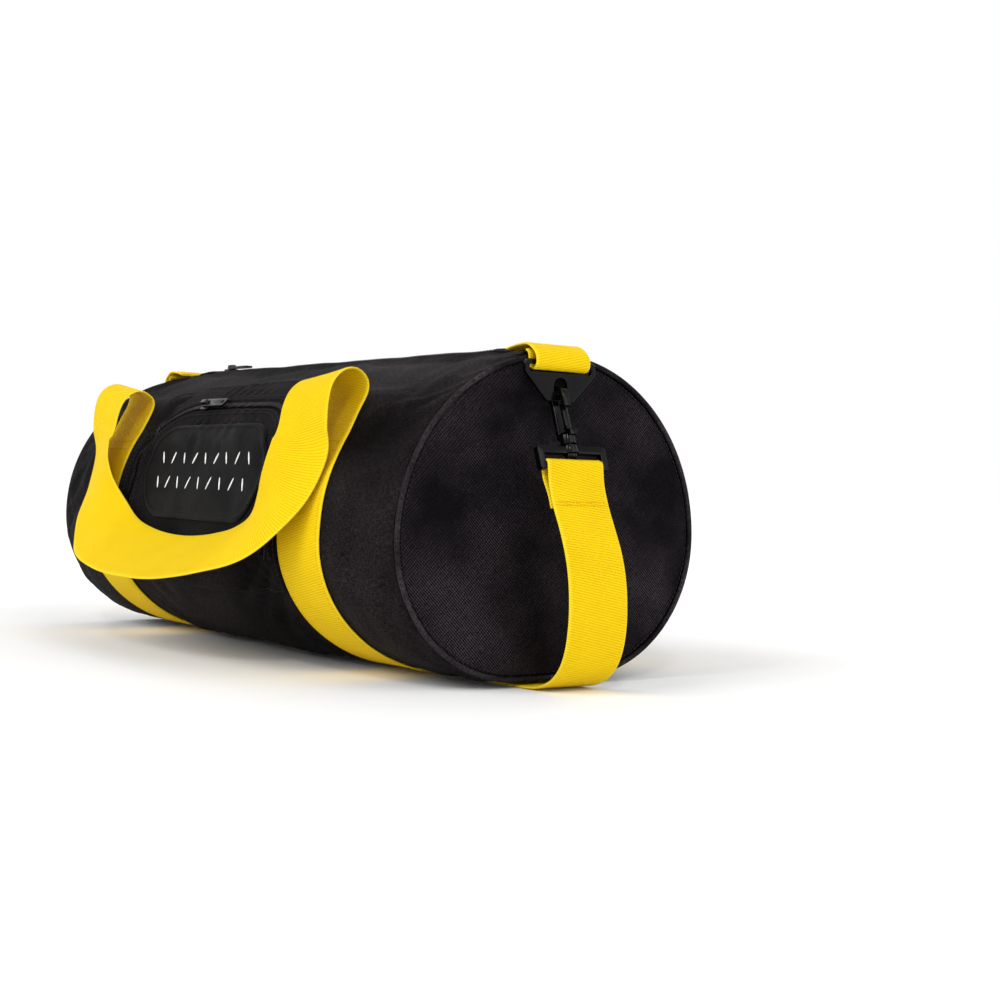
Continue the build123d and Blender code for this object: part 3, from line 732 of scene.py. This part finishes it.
def gathers(x, u):
    """Small gathers of the barrel's cloth at the end seams, tighter over the top."""
    around = u * HALF_ROUND
    to_seam = SEAM_X - np.abs(x)
    pitch = 5.2
    tight = np.sin(around * math.tau / pitch + 1.6 * np.sin(around / 23.0))
    tight = tight * (0.5 + 0.5 * np.sin(around / 37.0 + 1.0)) * (0.16 + 0.3 * bell(u / 0.45))
    return tight * np.exp(-to_seam / 6.5) * ease(to_seam / 1.5) * off_floor(u)


def barrel():
    """The rolled main panel: open along the zip, turned in there, and sunk beside the piping."""
    end_start, inner_side = 200.0, -1.3
    end = np.linspace(end_start, SEAM_X, 20)
    x = np.concatenate([-end[::-1], np.linspace(-end_start, end_start, 64)[1:-1], end])
    slot = SLOT_HALF / HALF_ROUND * ease((SLOT_END + 3.0 - np.abs(x)) / 3.0)
    across = np.linspace(0, 1, 400)
    across = across - 0.018 * np.sin(across * math.tau)
    u = slot[:, None] + (2 - 2 * slot[:, None]) * across[None, :]
    xx = np.broadcast_to(x[:, None], u.shape)
    from_edge = np.minimum(across, 1 - across)[None, :] * 2 * HALF_ROUND
    hem = 0.55 * bell(from_edge / 7.0) * (slot[:, None] > 1e-4)
    signed = (u + 1) % 2 - 1
    sunk = 0.85 * bell((SEAM_X - np.abs(xx)) / 2.6)
    top = skin(xx, u, hem + gathers(xx, signed) - sunk)
    low = skin(xx, u, inner_side)
    piece = slab("barrel_cloth", top, low, grid_of(xx, u * HALF_ROUND), fabric)
    on_bag(piece, "fabric", "barrel_shell")


barrel()


def seam_outline(grow, count=320):
    """Points and outward directions round an end's outline, in the plane X = 0."""
    u = np.linspace(-1, 1, count, endpoint=False)
    y, z = section_point(END, u)
    d = 1e-3
    y2, z2 = section_point(END, u + d)
    y1, z1 = section_point(END, u - d)
    out = unit(grid_of(0.0, z1 - z2, y2 - y1))
    return grid_of(0.0, y, z) + out * grow, out, u


def end_panels():
    """End panel, piping, the seam's stitches and the bound edge inside, at both ends."""
    panel_inset, piping_inset, stitch_inset, tape_inset = 3.2, 1.75, 4.4, 4.6
    outline, _, u = seam_outline(-panel_inset)
    reach = np.concatenate([np.linspace(0.0, 0.9, 46), np.linspace(0.9, 1.0, 14)[1:]])
    middle = np.array([0.0, 0.0, 99.0])
    points = middle + (outline - middle)[None] * reach[:, None, None]
    y, z = points[..., 1], points[..., 2]
    inside = 1 - reach[:, None]
    sink = waves(y, z, *PANEL_SAG) * 1.15 + waves(y, z, *PANEL_FOLDS) * 0.3
    pitch = 9.0
    ripple = np.sin(u * HALF_ROUND * math.tau / pitch + 2 * np.sin(u * 23.0))[None]
    ripple = ripple * np.exp(-inside / 0.045) * 0.22
    puff = (0.9 - 0.35 * np.abs(sink) + sink * 0.8) * ease(inside / 0.22) - 1.2 * ease(inside / 0.5)
    groove = bell(inside / 0.017)
    points = points + grid_of(SEAM_X + PANEL_THICK + puff + ripple - groove, 0.0, 0.0)
    points = points.transpose(1, 0, 2)
    under = points - np.array([PANEL_THICK, 0, 0])
    uv = np.concatenate([points, points[:1]])[..., 1:]

    piping_path, piping_out, _ = seam_outline(-piping_inset, 420)
    turn = np.linspace(0, math.tau, 12, endpoint=False)
    cord = grid_of(1.55 * np.cos(turn), 1.6 * np.sin(turn))
    piping_path = piping_path + np.array([SEAM_X + piping_inset, 0, 0])
    seam, _, _ = seam_outline(-stitch_inset, 420)
    seam = seam * np.array([1, 0.993, 0.993]) + np.array([SEAM_X + 1.55, 0, 0.7])
    face = np.tile([[1.0, 0, 0]], (len(seam), 1))
    strip, bind_out, _ = seam_outline(-tape_inset, 240)
    wobble = np.sin(np.linspace(0, 60, len(strip)))[:, None] * 0.4
    strip = strip - bind_out * (1.6 + wobble) + np.array([SEAM_X - 6.0, 0, 0])
    tape = np.array([[-1.3, -5], [-1.5, 0], [-1.3, 5], [0, 5.6], [1.3, 5], [1.5, 0], [1.3, -5], [0, -5.6]])
    for side, flip in MIRROR_X.items():
        name = f"end_panel_cloth_{side}"
        piece = slab(name, points * flip, under * flip, uv, end_fabric, wrap=True, core=True)
        on_bag(piece, "fabric", f"end_panel_{side}")
        piece = tube(f"piping_cord_{side}", piping_path * flip, piping_out, cord, piping_cloth_painted_highlight)
        on_bag(piece, "piping", f"piping_{side}")
        rows = [(seam * flip, face * flip)]
        sew(f"end_seam_stitches_{side}", rows, black_thread, "binding", pitch=3.2)
        piece = tube(f"seam_tape_{side}", strip * flip, bind_out, tape, binding_cloth)
        on_bag(piece, "binding", f"seam_binding_{side}")


end_panels()


# ---- webbing


def hoops():
    """The webbing sewn round the barrel, from the front fold under the bag to the back one."""
    swell = WEB_SWELL.copy()
    swell[[0, -1]] = 0.1
    swell[[1, -2]] = 0.7
    thread_at, inset = 1.68, 3.0
    top_share = share_at(HOOP_TOP_Z)
    u = -np.linspace(top_share, 2 - top_share, 300)
    for side, sign in SIDES:
        x = sign * (HOOP_X + (WEB_SHARE - 0.5) * WEB)
        xx, uu = np.meshgrid(x, u, indexing="ij")
        top = skin(xx, uu, HOOP_MIDDLE + swell[:, None] * 0.75)
        low = skin(xx, uu, HOOP_MIDDLE - swell[:, None] * 0.8)
        uv = grid_of((WEB_SHARE * WEB)[:, None], -uu * HALF_ROUND)
        on_bag(slab(f"hoop_webbing_{side}", top, low, uv, webbing), "webbing", f"handle_band_{side}")
        near, far = HOOP_X - WEB / 2 + inset, HOOP_X + WEB / 2 - inset
        rows = [seam_row(sign * place, u[3:-3], thread_at) for place in (near, far)]
        rows += [seam_row(sign * np.linspace(near, far, 20), u[at], thread_at) for at in (4, 8, -5, -9)]
        sew(f"hoop_stitches_{side}", rows, yellow_thread, "webbing", pitch=3.6, length=2.6, thick=0.36)


hoops()

# The free loop at the front, right half: middle of the webbing and the direction across it. First the
# fold over its crest, which stays with the hoop, then the part that swings.
CREST_STATIONS = [
    ((147.0, -98.6, 160.5), (1.0, 0.0, 0.02)),
    ((147.0, -93.6, 171.5), (1.0, 0.04, 0.07)),
    ((147.0, -94.6, 179.0), (1.0, 0.06, 0.12)),
    ((147.0, -101.5, 183.6), (1.0, 0.05, 0.14)),
    ((147.0, -109.8, 182.2), (1.0, 0.02, 0.12)),
    ((147.0, -116.8, 175.5), (1.0, 0.02, 0.09)),
    ((147.0, -120.8, 164.5), (1.0, 0.05, 0.04)),
]
LOOP_STATIONS = [
    ((147.0, -122.4, 151.0), (1.0, 0.10, 0.0)),
    ((146.0, -123.8, 137.5), (0.97, 0.24, -0.06)),
    ((140.0, -129.2, 118.0), (0.94, 0.12, -0.32)),
    ((127.0, -136.0, 98.0), (0.88, -0.20, -0.42)),
    ((107.0, -140.5, 83.0), (0.74, -0.50, -0.46)),
    ((81.0, -145.5, 74.0), (0.50, -0.72, -0.50)),
    ((52.0, -148.0, 69.0), (0.25, -0.80, -0.54)),
    ((25.0, -149.0, 66.5), (0.10, -0.83, -0.55)),
    ((0.0, -149.5, 66.0), (0.0, -0.84, -0.54)),
]
# Where the fold over the crest begins and ends to follow the lifted handle, in Y and Z at the front
CREST_END_Y = -120.5


def handle_rows():
    """Rows of the whole front loop: middle and across direction, from its right end to its left end."""
    top = share_at(HOOP_TOP_Z)
    stations = [(*skin(HOOP_X, -(top + back), HOOP_MIDDLE), 1.0, 0.0, 0.0) for back in (0.03, 0.015, 0.0)]
    stations += [(*middle, *across) for middle, across in CREST_STATIONS + LOOP_STATIONS]
    stations += [(-x, y, z, -a, b, c) for x, y, z, a, b, c in reversed(stations[:-1])]
    return spline(stations, 2.6)


def handles():
    """Both loops, each in three pieces: the swinging loop, and a crest at each end."""
    rows = handle_rows()
    centre, across = rows[:, :3], unit(rows[:, 3:])
    run = length_along(centre)
    top, low, uv = ribbon_grid(centre, across, WEB)
    height = centre[: len(centre) // 2, 2]
    first = int(np.argmin(np.abs(height - HOOP_TOP_Z) + 50 * (run[: len(height)] > 20)))
    turn = int(np.argmax(height))
    cut = turn + 1 + int(np.argmax(centre[turn + 1 :, 1] < CREST_END_Y))
    last = len(centre) - 1
    spans = (("crest_right", first, cut), ("loop", cut, last - cut), ("crest_left", last - cut, last - first))
    for side, sign in FRONT_BACK:
        body, flip = f"handle_{side}", MIRROR_Y[side]
        for part, a, b in spans:
            part_top, part_low = top[a : b + 1] * flip, low[a : b + 1] * flip
            piece = slab(f"handle_{side}_{part}", part_top, part_low, uv[a : b + 1], webbing)
            if part == "loop":
                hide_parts(f"handle_loop_{side}")
                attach(piece, body)
            else:
                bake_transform(piece)


handles()


def across_row(width, inset, count):
    """Y of a row of points across webbing that hangs on the hardware."""
    reach = width / 2 - inset
    return np.linspace(HARDWARE_Y - reach, HARDWARE_Y + reach, count)


def strap():
    """Shoulder strap: flat under the bag, bowed up at each end, round the bar and sewn back."""
    yaw = 0.07  # turn of the webbing about the vertical, where it bows out
    bar_radius = 2.75
    half = [
        (0.0, 0.86, 0.0), (60.0, 0.86, 0.0), (120.0, 0.86, 0.0), (180.0, 0.86, 0.0), (222.0, 0.86, 0.02),
        (243.0, 1.05, 0.05), (257.5, 2.9, yaw), (268.5, 7.6, yaw), (276.2, 15.2, yaw), (280.9, 25.0, yaw),
        (283.3, 37.0, yaw), (283.8, 50.0, 0.06), (282.6, 64.0, 0.05), (279.3, 80.0, 0.03), (274.6, 95.0, 0.0),
        (269.4, 109.0, 0.0), (265.9, 121.0, 0.0), (STRAP_BAR_X + 2.9, STRAP_BAR_Z - 2.0, 0.0),
    ]
    for angle in np.radians((20, 60, 100, 140, 180, 215)):
        x, z = bar_radius * math.cos(angle), bar_radius * math.sin(angle)
        half.append((STRAP_BAR_X + x, STRAP_BAR_Z + z, 0.0))
    sewn_back = [(258.9, 128.8), (260.4, 123.8), (263.3, 118.4), (265.4, 113.6), (266.7, 109.0)]
    half += [(x, z, 0.0) for x, z in sewn_back]
    stations = [(-x, HARDWARE_Y, z, -turn, 1.0, 0.0) for x, z, turn in reversed(half[1:])]
    stations += [(x, HARDWARE_Y, z, turn, 1.0, 0.0) for x, z, turn in half]
    rows = spline(stations, 2.0)
    centre, across = rows[:, :3], unit(rows[:, 3:])
    sway = 4.0 * ease((126.0 - centre[:, 2]) / 60.0)
    centre = centre + grid_of(0.0, sway, 0.0)
    piece = slab("strap_webbing", *ribbon_grid(centre, across, STRAP), strap_webbing)
    on_bag(piece, "webbing", "shoulder_strap")
    rows = []
    for sign in (1, -1):
        for depth in (21.8, 19.6):
            front = centre[(centre[:, 0] * sign > 255) & (centre[:, 2] > 60)]
            near = front[np.abs(front[:, 2] - (STRAP_BAR_Z - depth)) < 2.0]
            x, _, z = near[np.argmax(near[:, 0] * sign)]
            line = grid_of(x + sign * 0.82, across_row(STRAP, 1.5, 16), z)
            rows.append((line, np.tile([sign * 0.95, 0.0, 0.3], (16, 1))))
    sew("strap_stitches", rows, yellow_thread, "webbing", pitch=2.6, length=2.2, thick=0.4, lift=0.0)


strap()


def ring_tabs():
    """Webbing tabs over the end seams: sewn down on the barrel, round the ring's bar and back."""
    top_z = 202.9
    profile = [
        (220.0, 201.6), (226.0, top_z), (233.0, top_z + 0.9), (240.0, top_z + 1.0), (245.6, 201.0),
        (249.2, 197.4), (250.2, 193.0), (248.9, 190.0), (246.3, 189.1), (243.9, 190.4), (242.9, 193.4),
        (242.6, 196.4), (241.6, 199.0), (239.4, 200.4),
    ]
    for side, sign in SIDES:
        rows = spline([(sign * x, HARDWARE_Y, z, 0.0, 1.0, 0.0) for x, z in profile], 1.2)
        centre, across = rows[:, :3], unit(rows[:, 3:])
        piece = slab(f"tab_webbing_{side}", *ribbon_grid(centre, across, TAB), tab_webbing)
        on_bag(piece, "webbing", f"ring_tab_{side}")
        lines = []
        for at in (224.0, 231.5):
            near = int(np.argmin(np.abs(centre[:, 0] * sign - at) + 40 * (centre[:, 2] < 200.9)))
            line = grid_of(centre[near, 0], across_row(TAB, 2.0, 18), centre[near, 2] + 0.85)
            lines.append((line, np.tile([0.0, 0.0, 1.0], (18, 1))))
        sew(f"tab_stitches_{side}", lines, yellow_thread, "webbing", pitch=2.8, thick=0.4, lift=0.0)


ring_tabs()


# ---- zips, pocket and patch


def main_zip():
    """Tapes, top-stitching, coil and end tabs of the zip along the top."""
    tape_half_length, tape_inner, tape_outer, tape_thick = 200.0, 2.6, 18.0, 0.7
    coil_half_length, thread_at = 188.0, 0.45
    x = np.linspace(-tape_half_length, tape_half_length, 161)
    for side, sign in FRONT_BACK:
        xx, aa = np.meshgrid(x, np.linspace(tape_inner, tape_outer, 12), indexing="ij")
        dip = -1.55 + 0.75 * np.exp(-(aa - tape_inner) / 1.6)
        u = -sign * aa / HALF_ROUND
        top, low = skin(xx, u, dip), skin(xx, u, dip - tape_thick)
        piece = slab(f"zip_tape_{side}", top, low, grid_of(aa, xx), tape_cloth)
        on_bag(piece, "zip_tape", f"main_zip_tape_{side}")
    line = np.linspace(-SLOT_END + 1, SLOT_END - 1, 140)
    edges = [sign * (SLOT_HALF + inset) / HALF_ROUND for sign in (-1, 1) for inset in (2.4, 6.4)]
    sew("zip_stitches", [seam_row(line, u, thread_at) for u in edges], black_thread, "binding", pitch=3.2)
    line = grid_of(np.linspace(-coil_half_length, coil_half_length, 377), 0.0)
    teeth(line, "main_zip_teeth", "main_zip_coil", lift=-0.45)
    start, stop, half_width = 191.0, 209.0, 15.5
    end, y = np.linspace(start, stop, 16), np.linspace(-half_width, half_width, 18)
    edge = np.minimum(np.minimum(end - start, stop - end)[:, None], (half_width - np.abs(y))[None, :])
    puff = 0.75 + 0.55 * ease(edge / 1.5) - 0.25 * bell((edge - 3.2) / 1.2)
    for side, sign in SIDES:
        xx, yy = np.meshgrid(sign * end, y, indexing="ij")
        top, low = skin(xx, yy / HALF_ROUND, puff), skin(xx, yy / HALF_ROUND, 0.1)
        piece = slab(f"zip_end_{side}", top, low, grid_of(xx, yy), fabric)
        on_bag(piece, "fabric", f"main_zip_end_tab_{side}")


def flat_resample(path, step):
    """resample for a path of two columns."""
    return resample(np.hstack([path, np.zeros((len(path), 1))]), step)[:, :2]


def beside(path):
    """Unit directions to the left of a flat path."""
    heading = unit(np.gradient(path, axis=0))
    return grid_of(-heading[:, 1], heading[:, 0])


def teeth(path, name, node, lift):
    """Two rows of coil teeth along a path of (x, arc length round the barrel)."""
    pitch, apart, tooth = 0.95, 0.75, (1.55, 0.62, 0.95)
    path = flat_resample(path, pitch)
    side = beside(path)
    which = np.where(np.arange(len(path)) % 2 == 0, 1.0, -1.0)[:, None]
    middle = path + side * which * apart
    u = middle[:, 1] / HALF_ROUND
    centre = skin(middle[:, 0], u, lift)
    away = middle + side
    along = skin(away[:, 0], away[:, 1] / HALF_ROUND, lift) - centre
    up = skin_normal(middle[:, 0], u)
    on_bag(beads(name, centre, along, up, tooth, coil_nylon), "zip_coil", node)


main_zip()


def arch_line():
    """The pocket zip's line in the pocket's own plane."""
    corner = ARCH_FLAT + ARCH_RADIUS
    low = ARCH_TOP - ARCH_RADIUS
    turn = np.linspace(0, math.pi / 2, 40)
    right = grid_of(ARCH_FLAT + ARCH_RADIUS * np.sin(turn), low + ARCH_RADIUS * np.cos(turn))
    half = np.vstack([[0.0, ARCH_TOP], right, [corner, low - ARCH_LEG]])
    return flat_resample(np.vstack([half[::-1] * np.array([-1, 1]), half[1:]]), 1.5)


def to_arch(x, v):
    """Signed distance from the zip's line, negative inside the arch, in the pocket's plane."""
    x = np.abs(x)
    low = ARCH_TOP - ARCH_RADIUS
    flat = v - ARCH_TOP
    corner = np.hypot(x - ARCH_FLAT, v - low) - ARCH_RADIUS
    leg = x - (ARCH_FLAT + ARCH_RADIUS)
    return np.where(v < low, leg, np.where(x < ARCH_FLAT, flat, corner))


def to_patch(x, v):
    """Distance from the patch's outline, negative inside."""
    long, tall = PATCH_HALF
    x = np.maximum(np.abs(x) - (long - tall), 0)
    return np.hypot(x, v - PATCH_MIDDLE) - tall


def pocket_offset(x, v):
    """Height of the pocket's cloth over the barrel: cut away along the zip, hemmed beside it, slack inside
    the arch, and sewn down at its edges."""
    cloth, hem_rise, slot_rise, edge_drop = 1.75, 0.65, 0.35, 1.3
    d = to_arch(x, v)
    low_end = ease((v - (ARCH_TOP - ARCH_RADIUS - ARCH_LEG)) / 4.0)
    slot = bell(np.maximum(np.abs(d) - 2.6, 0) / 1.9) * low_end
    hem = bell((np.abs(d) - 6.4) / 3.2) * low_end
    edge = np.minimum(POCKET_HALF - np.abs(x), 30.0)
    sag = ease(-d / 40.0) * (waves(x, v, *POCKET_SAG) * 0.7 + 1.0)
    sag = sag * (1 - bell(d / 16.0)) * (1 - bell(np.maximum(to_patch(x, v), 0) / 12.0) * 0.7)
    return (cloth + hem_rise * hem + sag) * (1 - slot) + slot_rise * slot - edge_drop * bell(edge / 2.0)


def pocket():
    """The pocket's cloth, the tape and coil of its arched zip, and its stitching."""
    low_u, high_u = -share_at(POCKET_LOW_Z, above=False), -share_at(POCKET_HIGH_Z)
    x, u = np.linspace(-POCKET_HALF, POCKET_HALF, 203), np.linspace(low_u, high_u, 130)
    xx, uu = np.meshgrid(x, u, indexing="ij")
    v = np.interp(uu, front_u, front_v)
    v = np.where(uu < front_u[0], front_v[0] + (uu - front_u[0]) * HALF_ROUND, v)
    from_low, from_top = (uu - low_u) * HALF_ROUND, (high_u - uu) * HALF_ROUND
    rim = 1.25 * bell(from_low / 2.0) + 1.25 * bell(from_top / 2.0)
    top = skin(xx, uu, np.maximum(pocket_offset(xx, v) - rim, 0.25))
    low = skin(xx, uu, 0.05)
    piece = slab("pocket_cloth", top, low, grid_of(xx, uu * HALF_ROUND), pocket_fabric)
    on_bag(piece, "fabric", "pocket_panel")

    line = arch_line()
    place = grid_of(line[:, 0], pocket_u(line[:, 1]) * HALF_ROUND)
    side = beside(place)
    tape_half_width = 4.6
    share = np.linspace(-1, 1, 9) * tape_half_width
    spread = place[:, None] + side[:, None] * share[None, :, None]
    x, u = spread[..., 0], spread[..., 1] / HALF_ROUND
    uv = grid_of(share[None, :], length_along(place)[:, None])
    piece = slab("pocket_tape", skin(x, u, 0.75), skin(x, u, 0.25), uv, tape_cloth)
    on_bag(piece, "zip_tape", "pocket_zip_tape")
    teeth(place, "pocket_teeth", "pocket_zip_coil", lift=1.65)

    rows = []
    for distance in (-8.2, 8.2, -5.4, 5.4):
        moved = place + side * distance
        x, around = moved[np.abs(moved[:, 0]) < POCKET_HALF - 2].T
        u = around / HALF_ROUND
        rows.append(seam_row(x, u, pocket_offset(x, np.interp(u, front_u, front_v)) + 0.1))
    inset, thread_at = 3.2, 1.85
    u = np.linspace(low_u + 0.012, high_u - 0.012, 90)
    rows += [seam_row(sign * (POCKET_HALF - inset), u, thread_at) for sign in (-1, 1)]
    x = np.linspace(-POCKET_HALF + 4, POCKET_HALF - 4, 120)
    rows += [seam_row(x, u, thread_at) for u in (low_u + inset / HALF_ROUND, high_u - inset / HALF_ROUND)]
    sew("pocket_stitches", rows, black_thread, "binding", pitch=3.2)


pocket()


def patch_place(x, v, off):
    """Points a distance off the pocket's cloth, v measured up from the patch's middle."""
    v = v + PATCH_MIDDLE
    return skin(x, pocket_u(v), np.maximum(pocket_offset(x, v), 1.0) + off)


def patch():
    """Smooth moulded patch with a raised rim, and plain generic marks on it."""
    long, tall = PATCH_HALF
    bend = long - tall
    turn = np.linspace(-math.pi / 2, math.pi / 2, 56)
    right = grid_of(bend + tall * np.cos(turn), tall * np.sin(turn))
    top_run = grid_of(bend * (1 - 2 * np.linspace(0.02, 0.98, 24)), tall)
    outline = np.vstack([right, top_run, -right, -top_run])
    rim_at, rim_rise = [0.91, 0.94, 0.965, 0.985, 1.0], [1.15, 1.3, 1.25, 0.95, 0.35]
    share = np.concatenate([[0.0], np.linspace(0.08, 0.88, 12), rim_at])
    rise = np.concatenate([np.full(13, 0.85), rim_rise])
    core = grid_of(np.clip(outline[:, 0], -bend, bend) * 0.98, 0.0)
    place = core[:, None] + (outline - core)[:, None] * share[None, :, None]
    x, v = place[..., 0], place[..., 1]
    top, low = patch_place(x, v, 0.1 + rise), patch_place(x, v, -0.15)
    uv = np.concatenate([place, place[:1]])
    on_bag(slab("patch_moulding", top, low, uv, patch_rubber, wrap=True, core=True), "patch", "patch")

    x = np.arange(-64.0, 65.0, 16.0)[:, None]
    lean = 1.9 * np.array([[-1.0], [1.0]] * 5)[: len(x)]
    row, height = np.array([[9.0, -9.0]]), 4.4
    first, second = (patch_place(x + way * lean, row + way * height, 1.0).reshape(-1, 3) for way in (-1, 1))
    along = second - first
    up = skin_normal(*(each.ravel() for each in np.broadcast_arrays(x, pocket_u(row + PATCH_MIDDLE))))
    half = grid_of(np.linalg.norm(along, axis=1) / 2, 0.95, 0.28)
    piece = beads("patch_marks", (first + second) / 2, along, up, half, white_ink, sides=12)
    on_bag(piece, "patch")

    inset = 2.6
    closed = np.vstack([outline, outline[:1]]) * np.array([(long - inset) / long, (tall - inset) / tall])
    x, v = closed.T
    row = (patch_place(x, v, 1.32), skin_normal(x, pocket_u(v + PATCH_MIDDLE)))
    sew("patch_stitches", [row], black_thread, "binding", pitch=3.0)


patch()


# ---- hardware from the CAD


def finish_hardware():
    """Materials and rounded edges for the pieces that come from the CAD."""
    plans = [
        (f"{which}_zip_{part}", enamel, 0.0003) for which in ("main", "pocket") for part in ("slider", "pull")
    ]
    for part in ("ring", "hook", "hook_gate", "swivel_base"):
        plans += [(f"{part}_{side}", hardware, 0.00045) for side in ("right", "left")]
    for node, material, rounding in plans:
        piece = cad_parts[node]
        piece.data.materials.clear()
        piece.data.materials.append(material)
        weld = piece.modifiers.new("Weld", "WELD")
        weld.merge_threshold = WELD
        edge = piece.modifiers.new("Bevel", "BEVEL")
        edge.width = rounding
        edge.segments = 3
        edge.limit_method = "ANGLE"
        edge.angle_limit = math.radians(38)
        edge.harden_normals = False
        piece.data.polygons.foreach_set("use_smooth", np.ones(len(piece.data.polygons), bool))


finish_hardware()


# ---- studio


def studio():
    """A plain pale floor, a world brighter near the horizon than overhead, and four broad suns."""
    size = 14.0
    mesh = bpy.data.meshes.new("studio_floor")
    corners = [(-size, -size, 0), (size, -size, 0), (size, size, 0), (-size, size, 0)]
    mesh.from_pydata(corners, [], [(0, 1, 2, 3)])
    paper, tree, shader = new_material("studio_paper", Roughness=0.9, Specular_IOR_Level=0.1)
    place = add(tree, "TexCoord").outputs["Object"]
    tone = ramp(tree, noise(tree, place, 2.0), [(0.3, (0.90, 0.90, 0.90)), (0.7, (0.92, 0.92, 0.92))])
    tree.links.new(tone, shader.inputs["Base Color"])
    mesh.materials.append(paper)
    floor = put("studio_floor", mesh)

    world = bpy.data.worlds.new("studio_world")
    world.use_nodes = True
    tree = world.node_tree
    height = add(tree, "SeparateXYZ", {0: add(tree, "TexCoord").outputs["Generated"]}).outputs[2]
    spans = {0: height, 1: 0.33, 2: 0.8, 3: 1.0, 4: 0.45}
    fall = add(tree, "MapRange", spans, interpolation_type="SMOOTHSTEP")
    background = tree.nodes["Background"]
    background.inputs[0].default_value = (1.0, 1.0, 1.0, 1.0)
    tree.links.new(fall.outputs[0], background.inputs[1])
    bpy.context.scene.world = world

    for name, toward, power, angle in (
        ("key_light", (-0.05, -0.80, 0.60), 1.5, 36.0),
        ("side_light", (0.85, 0.25, 0.55), 0.9, 50.0),
        ("back_light", (-0.5, 0.6, 0.7), 0.55, 60.0),
        ("glint_light", (0.62, -0.50, 0.60), 0.45, 7.0),
    ):
        data = bpy.data.lights.new(name, "SUN")
        data.energy, data.angle = power, math.radians(angle)
        put(name, data).rotation_euler = (-Vector(toward)).to_track_quat("-Z", "Y").to_euler()


def photo_camera():
    """The photograph's view of the bag."""
    place = np.array(PHOTO_PLACE) * MM
    forward = unit(np.array(PHOTO_FORWARD))
    level = unit(np.cross(forward, [0.0, 0.0, 1.0]))
    upright = np.cross(level, forward)
    right = math.cos(PHOTO_ROLL) * level + math.sin(PHOTO_ROLL) * upright
    up = -math.sin(PHOTO_ROLL) * level + math.cos(PHOTO_ROLL) * upright
    data = bpy.data.cameras.new("photo_camera")
    data.lens, data.sensor_width = PHOTO_LENS, PHOTO_SENSOR
    data.clip_start, data.clip_end = 0.05, 60.0
    camera = put("photo_camera", data)
    turned = [(right[k], up[k], -forward[k], place[k]) for k in range(3)]
    camera.matrix_world = Matrix([*turned, (0, 0, 0, 1)])
    bpy.context.scene.camera = camera


studio()
photo_camera()
bpy.context.scene.view_settings.view_transform = "Standard"
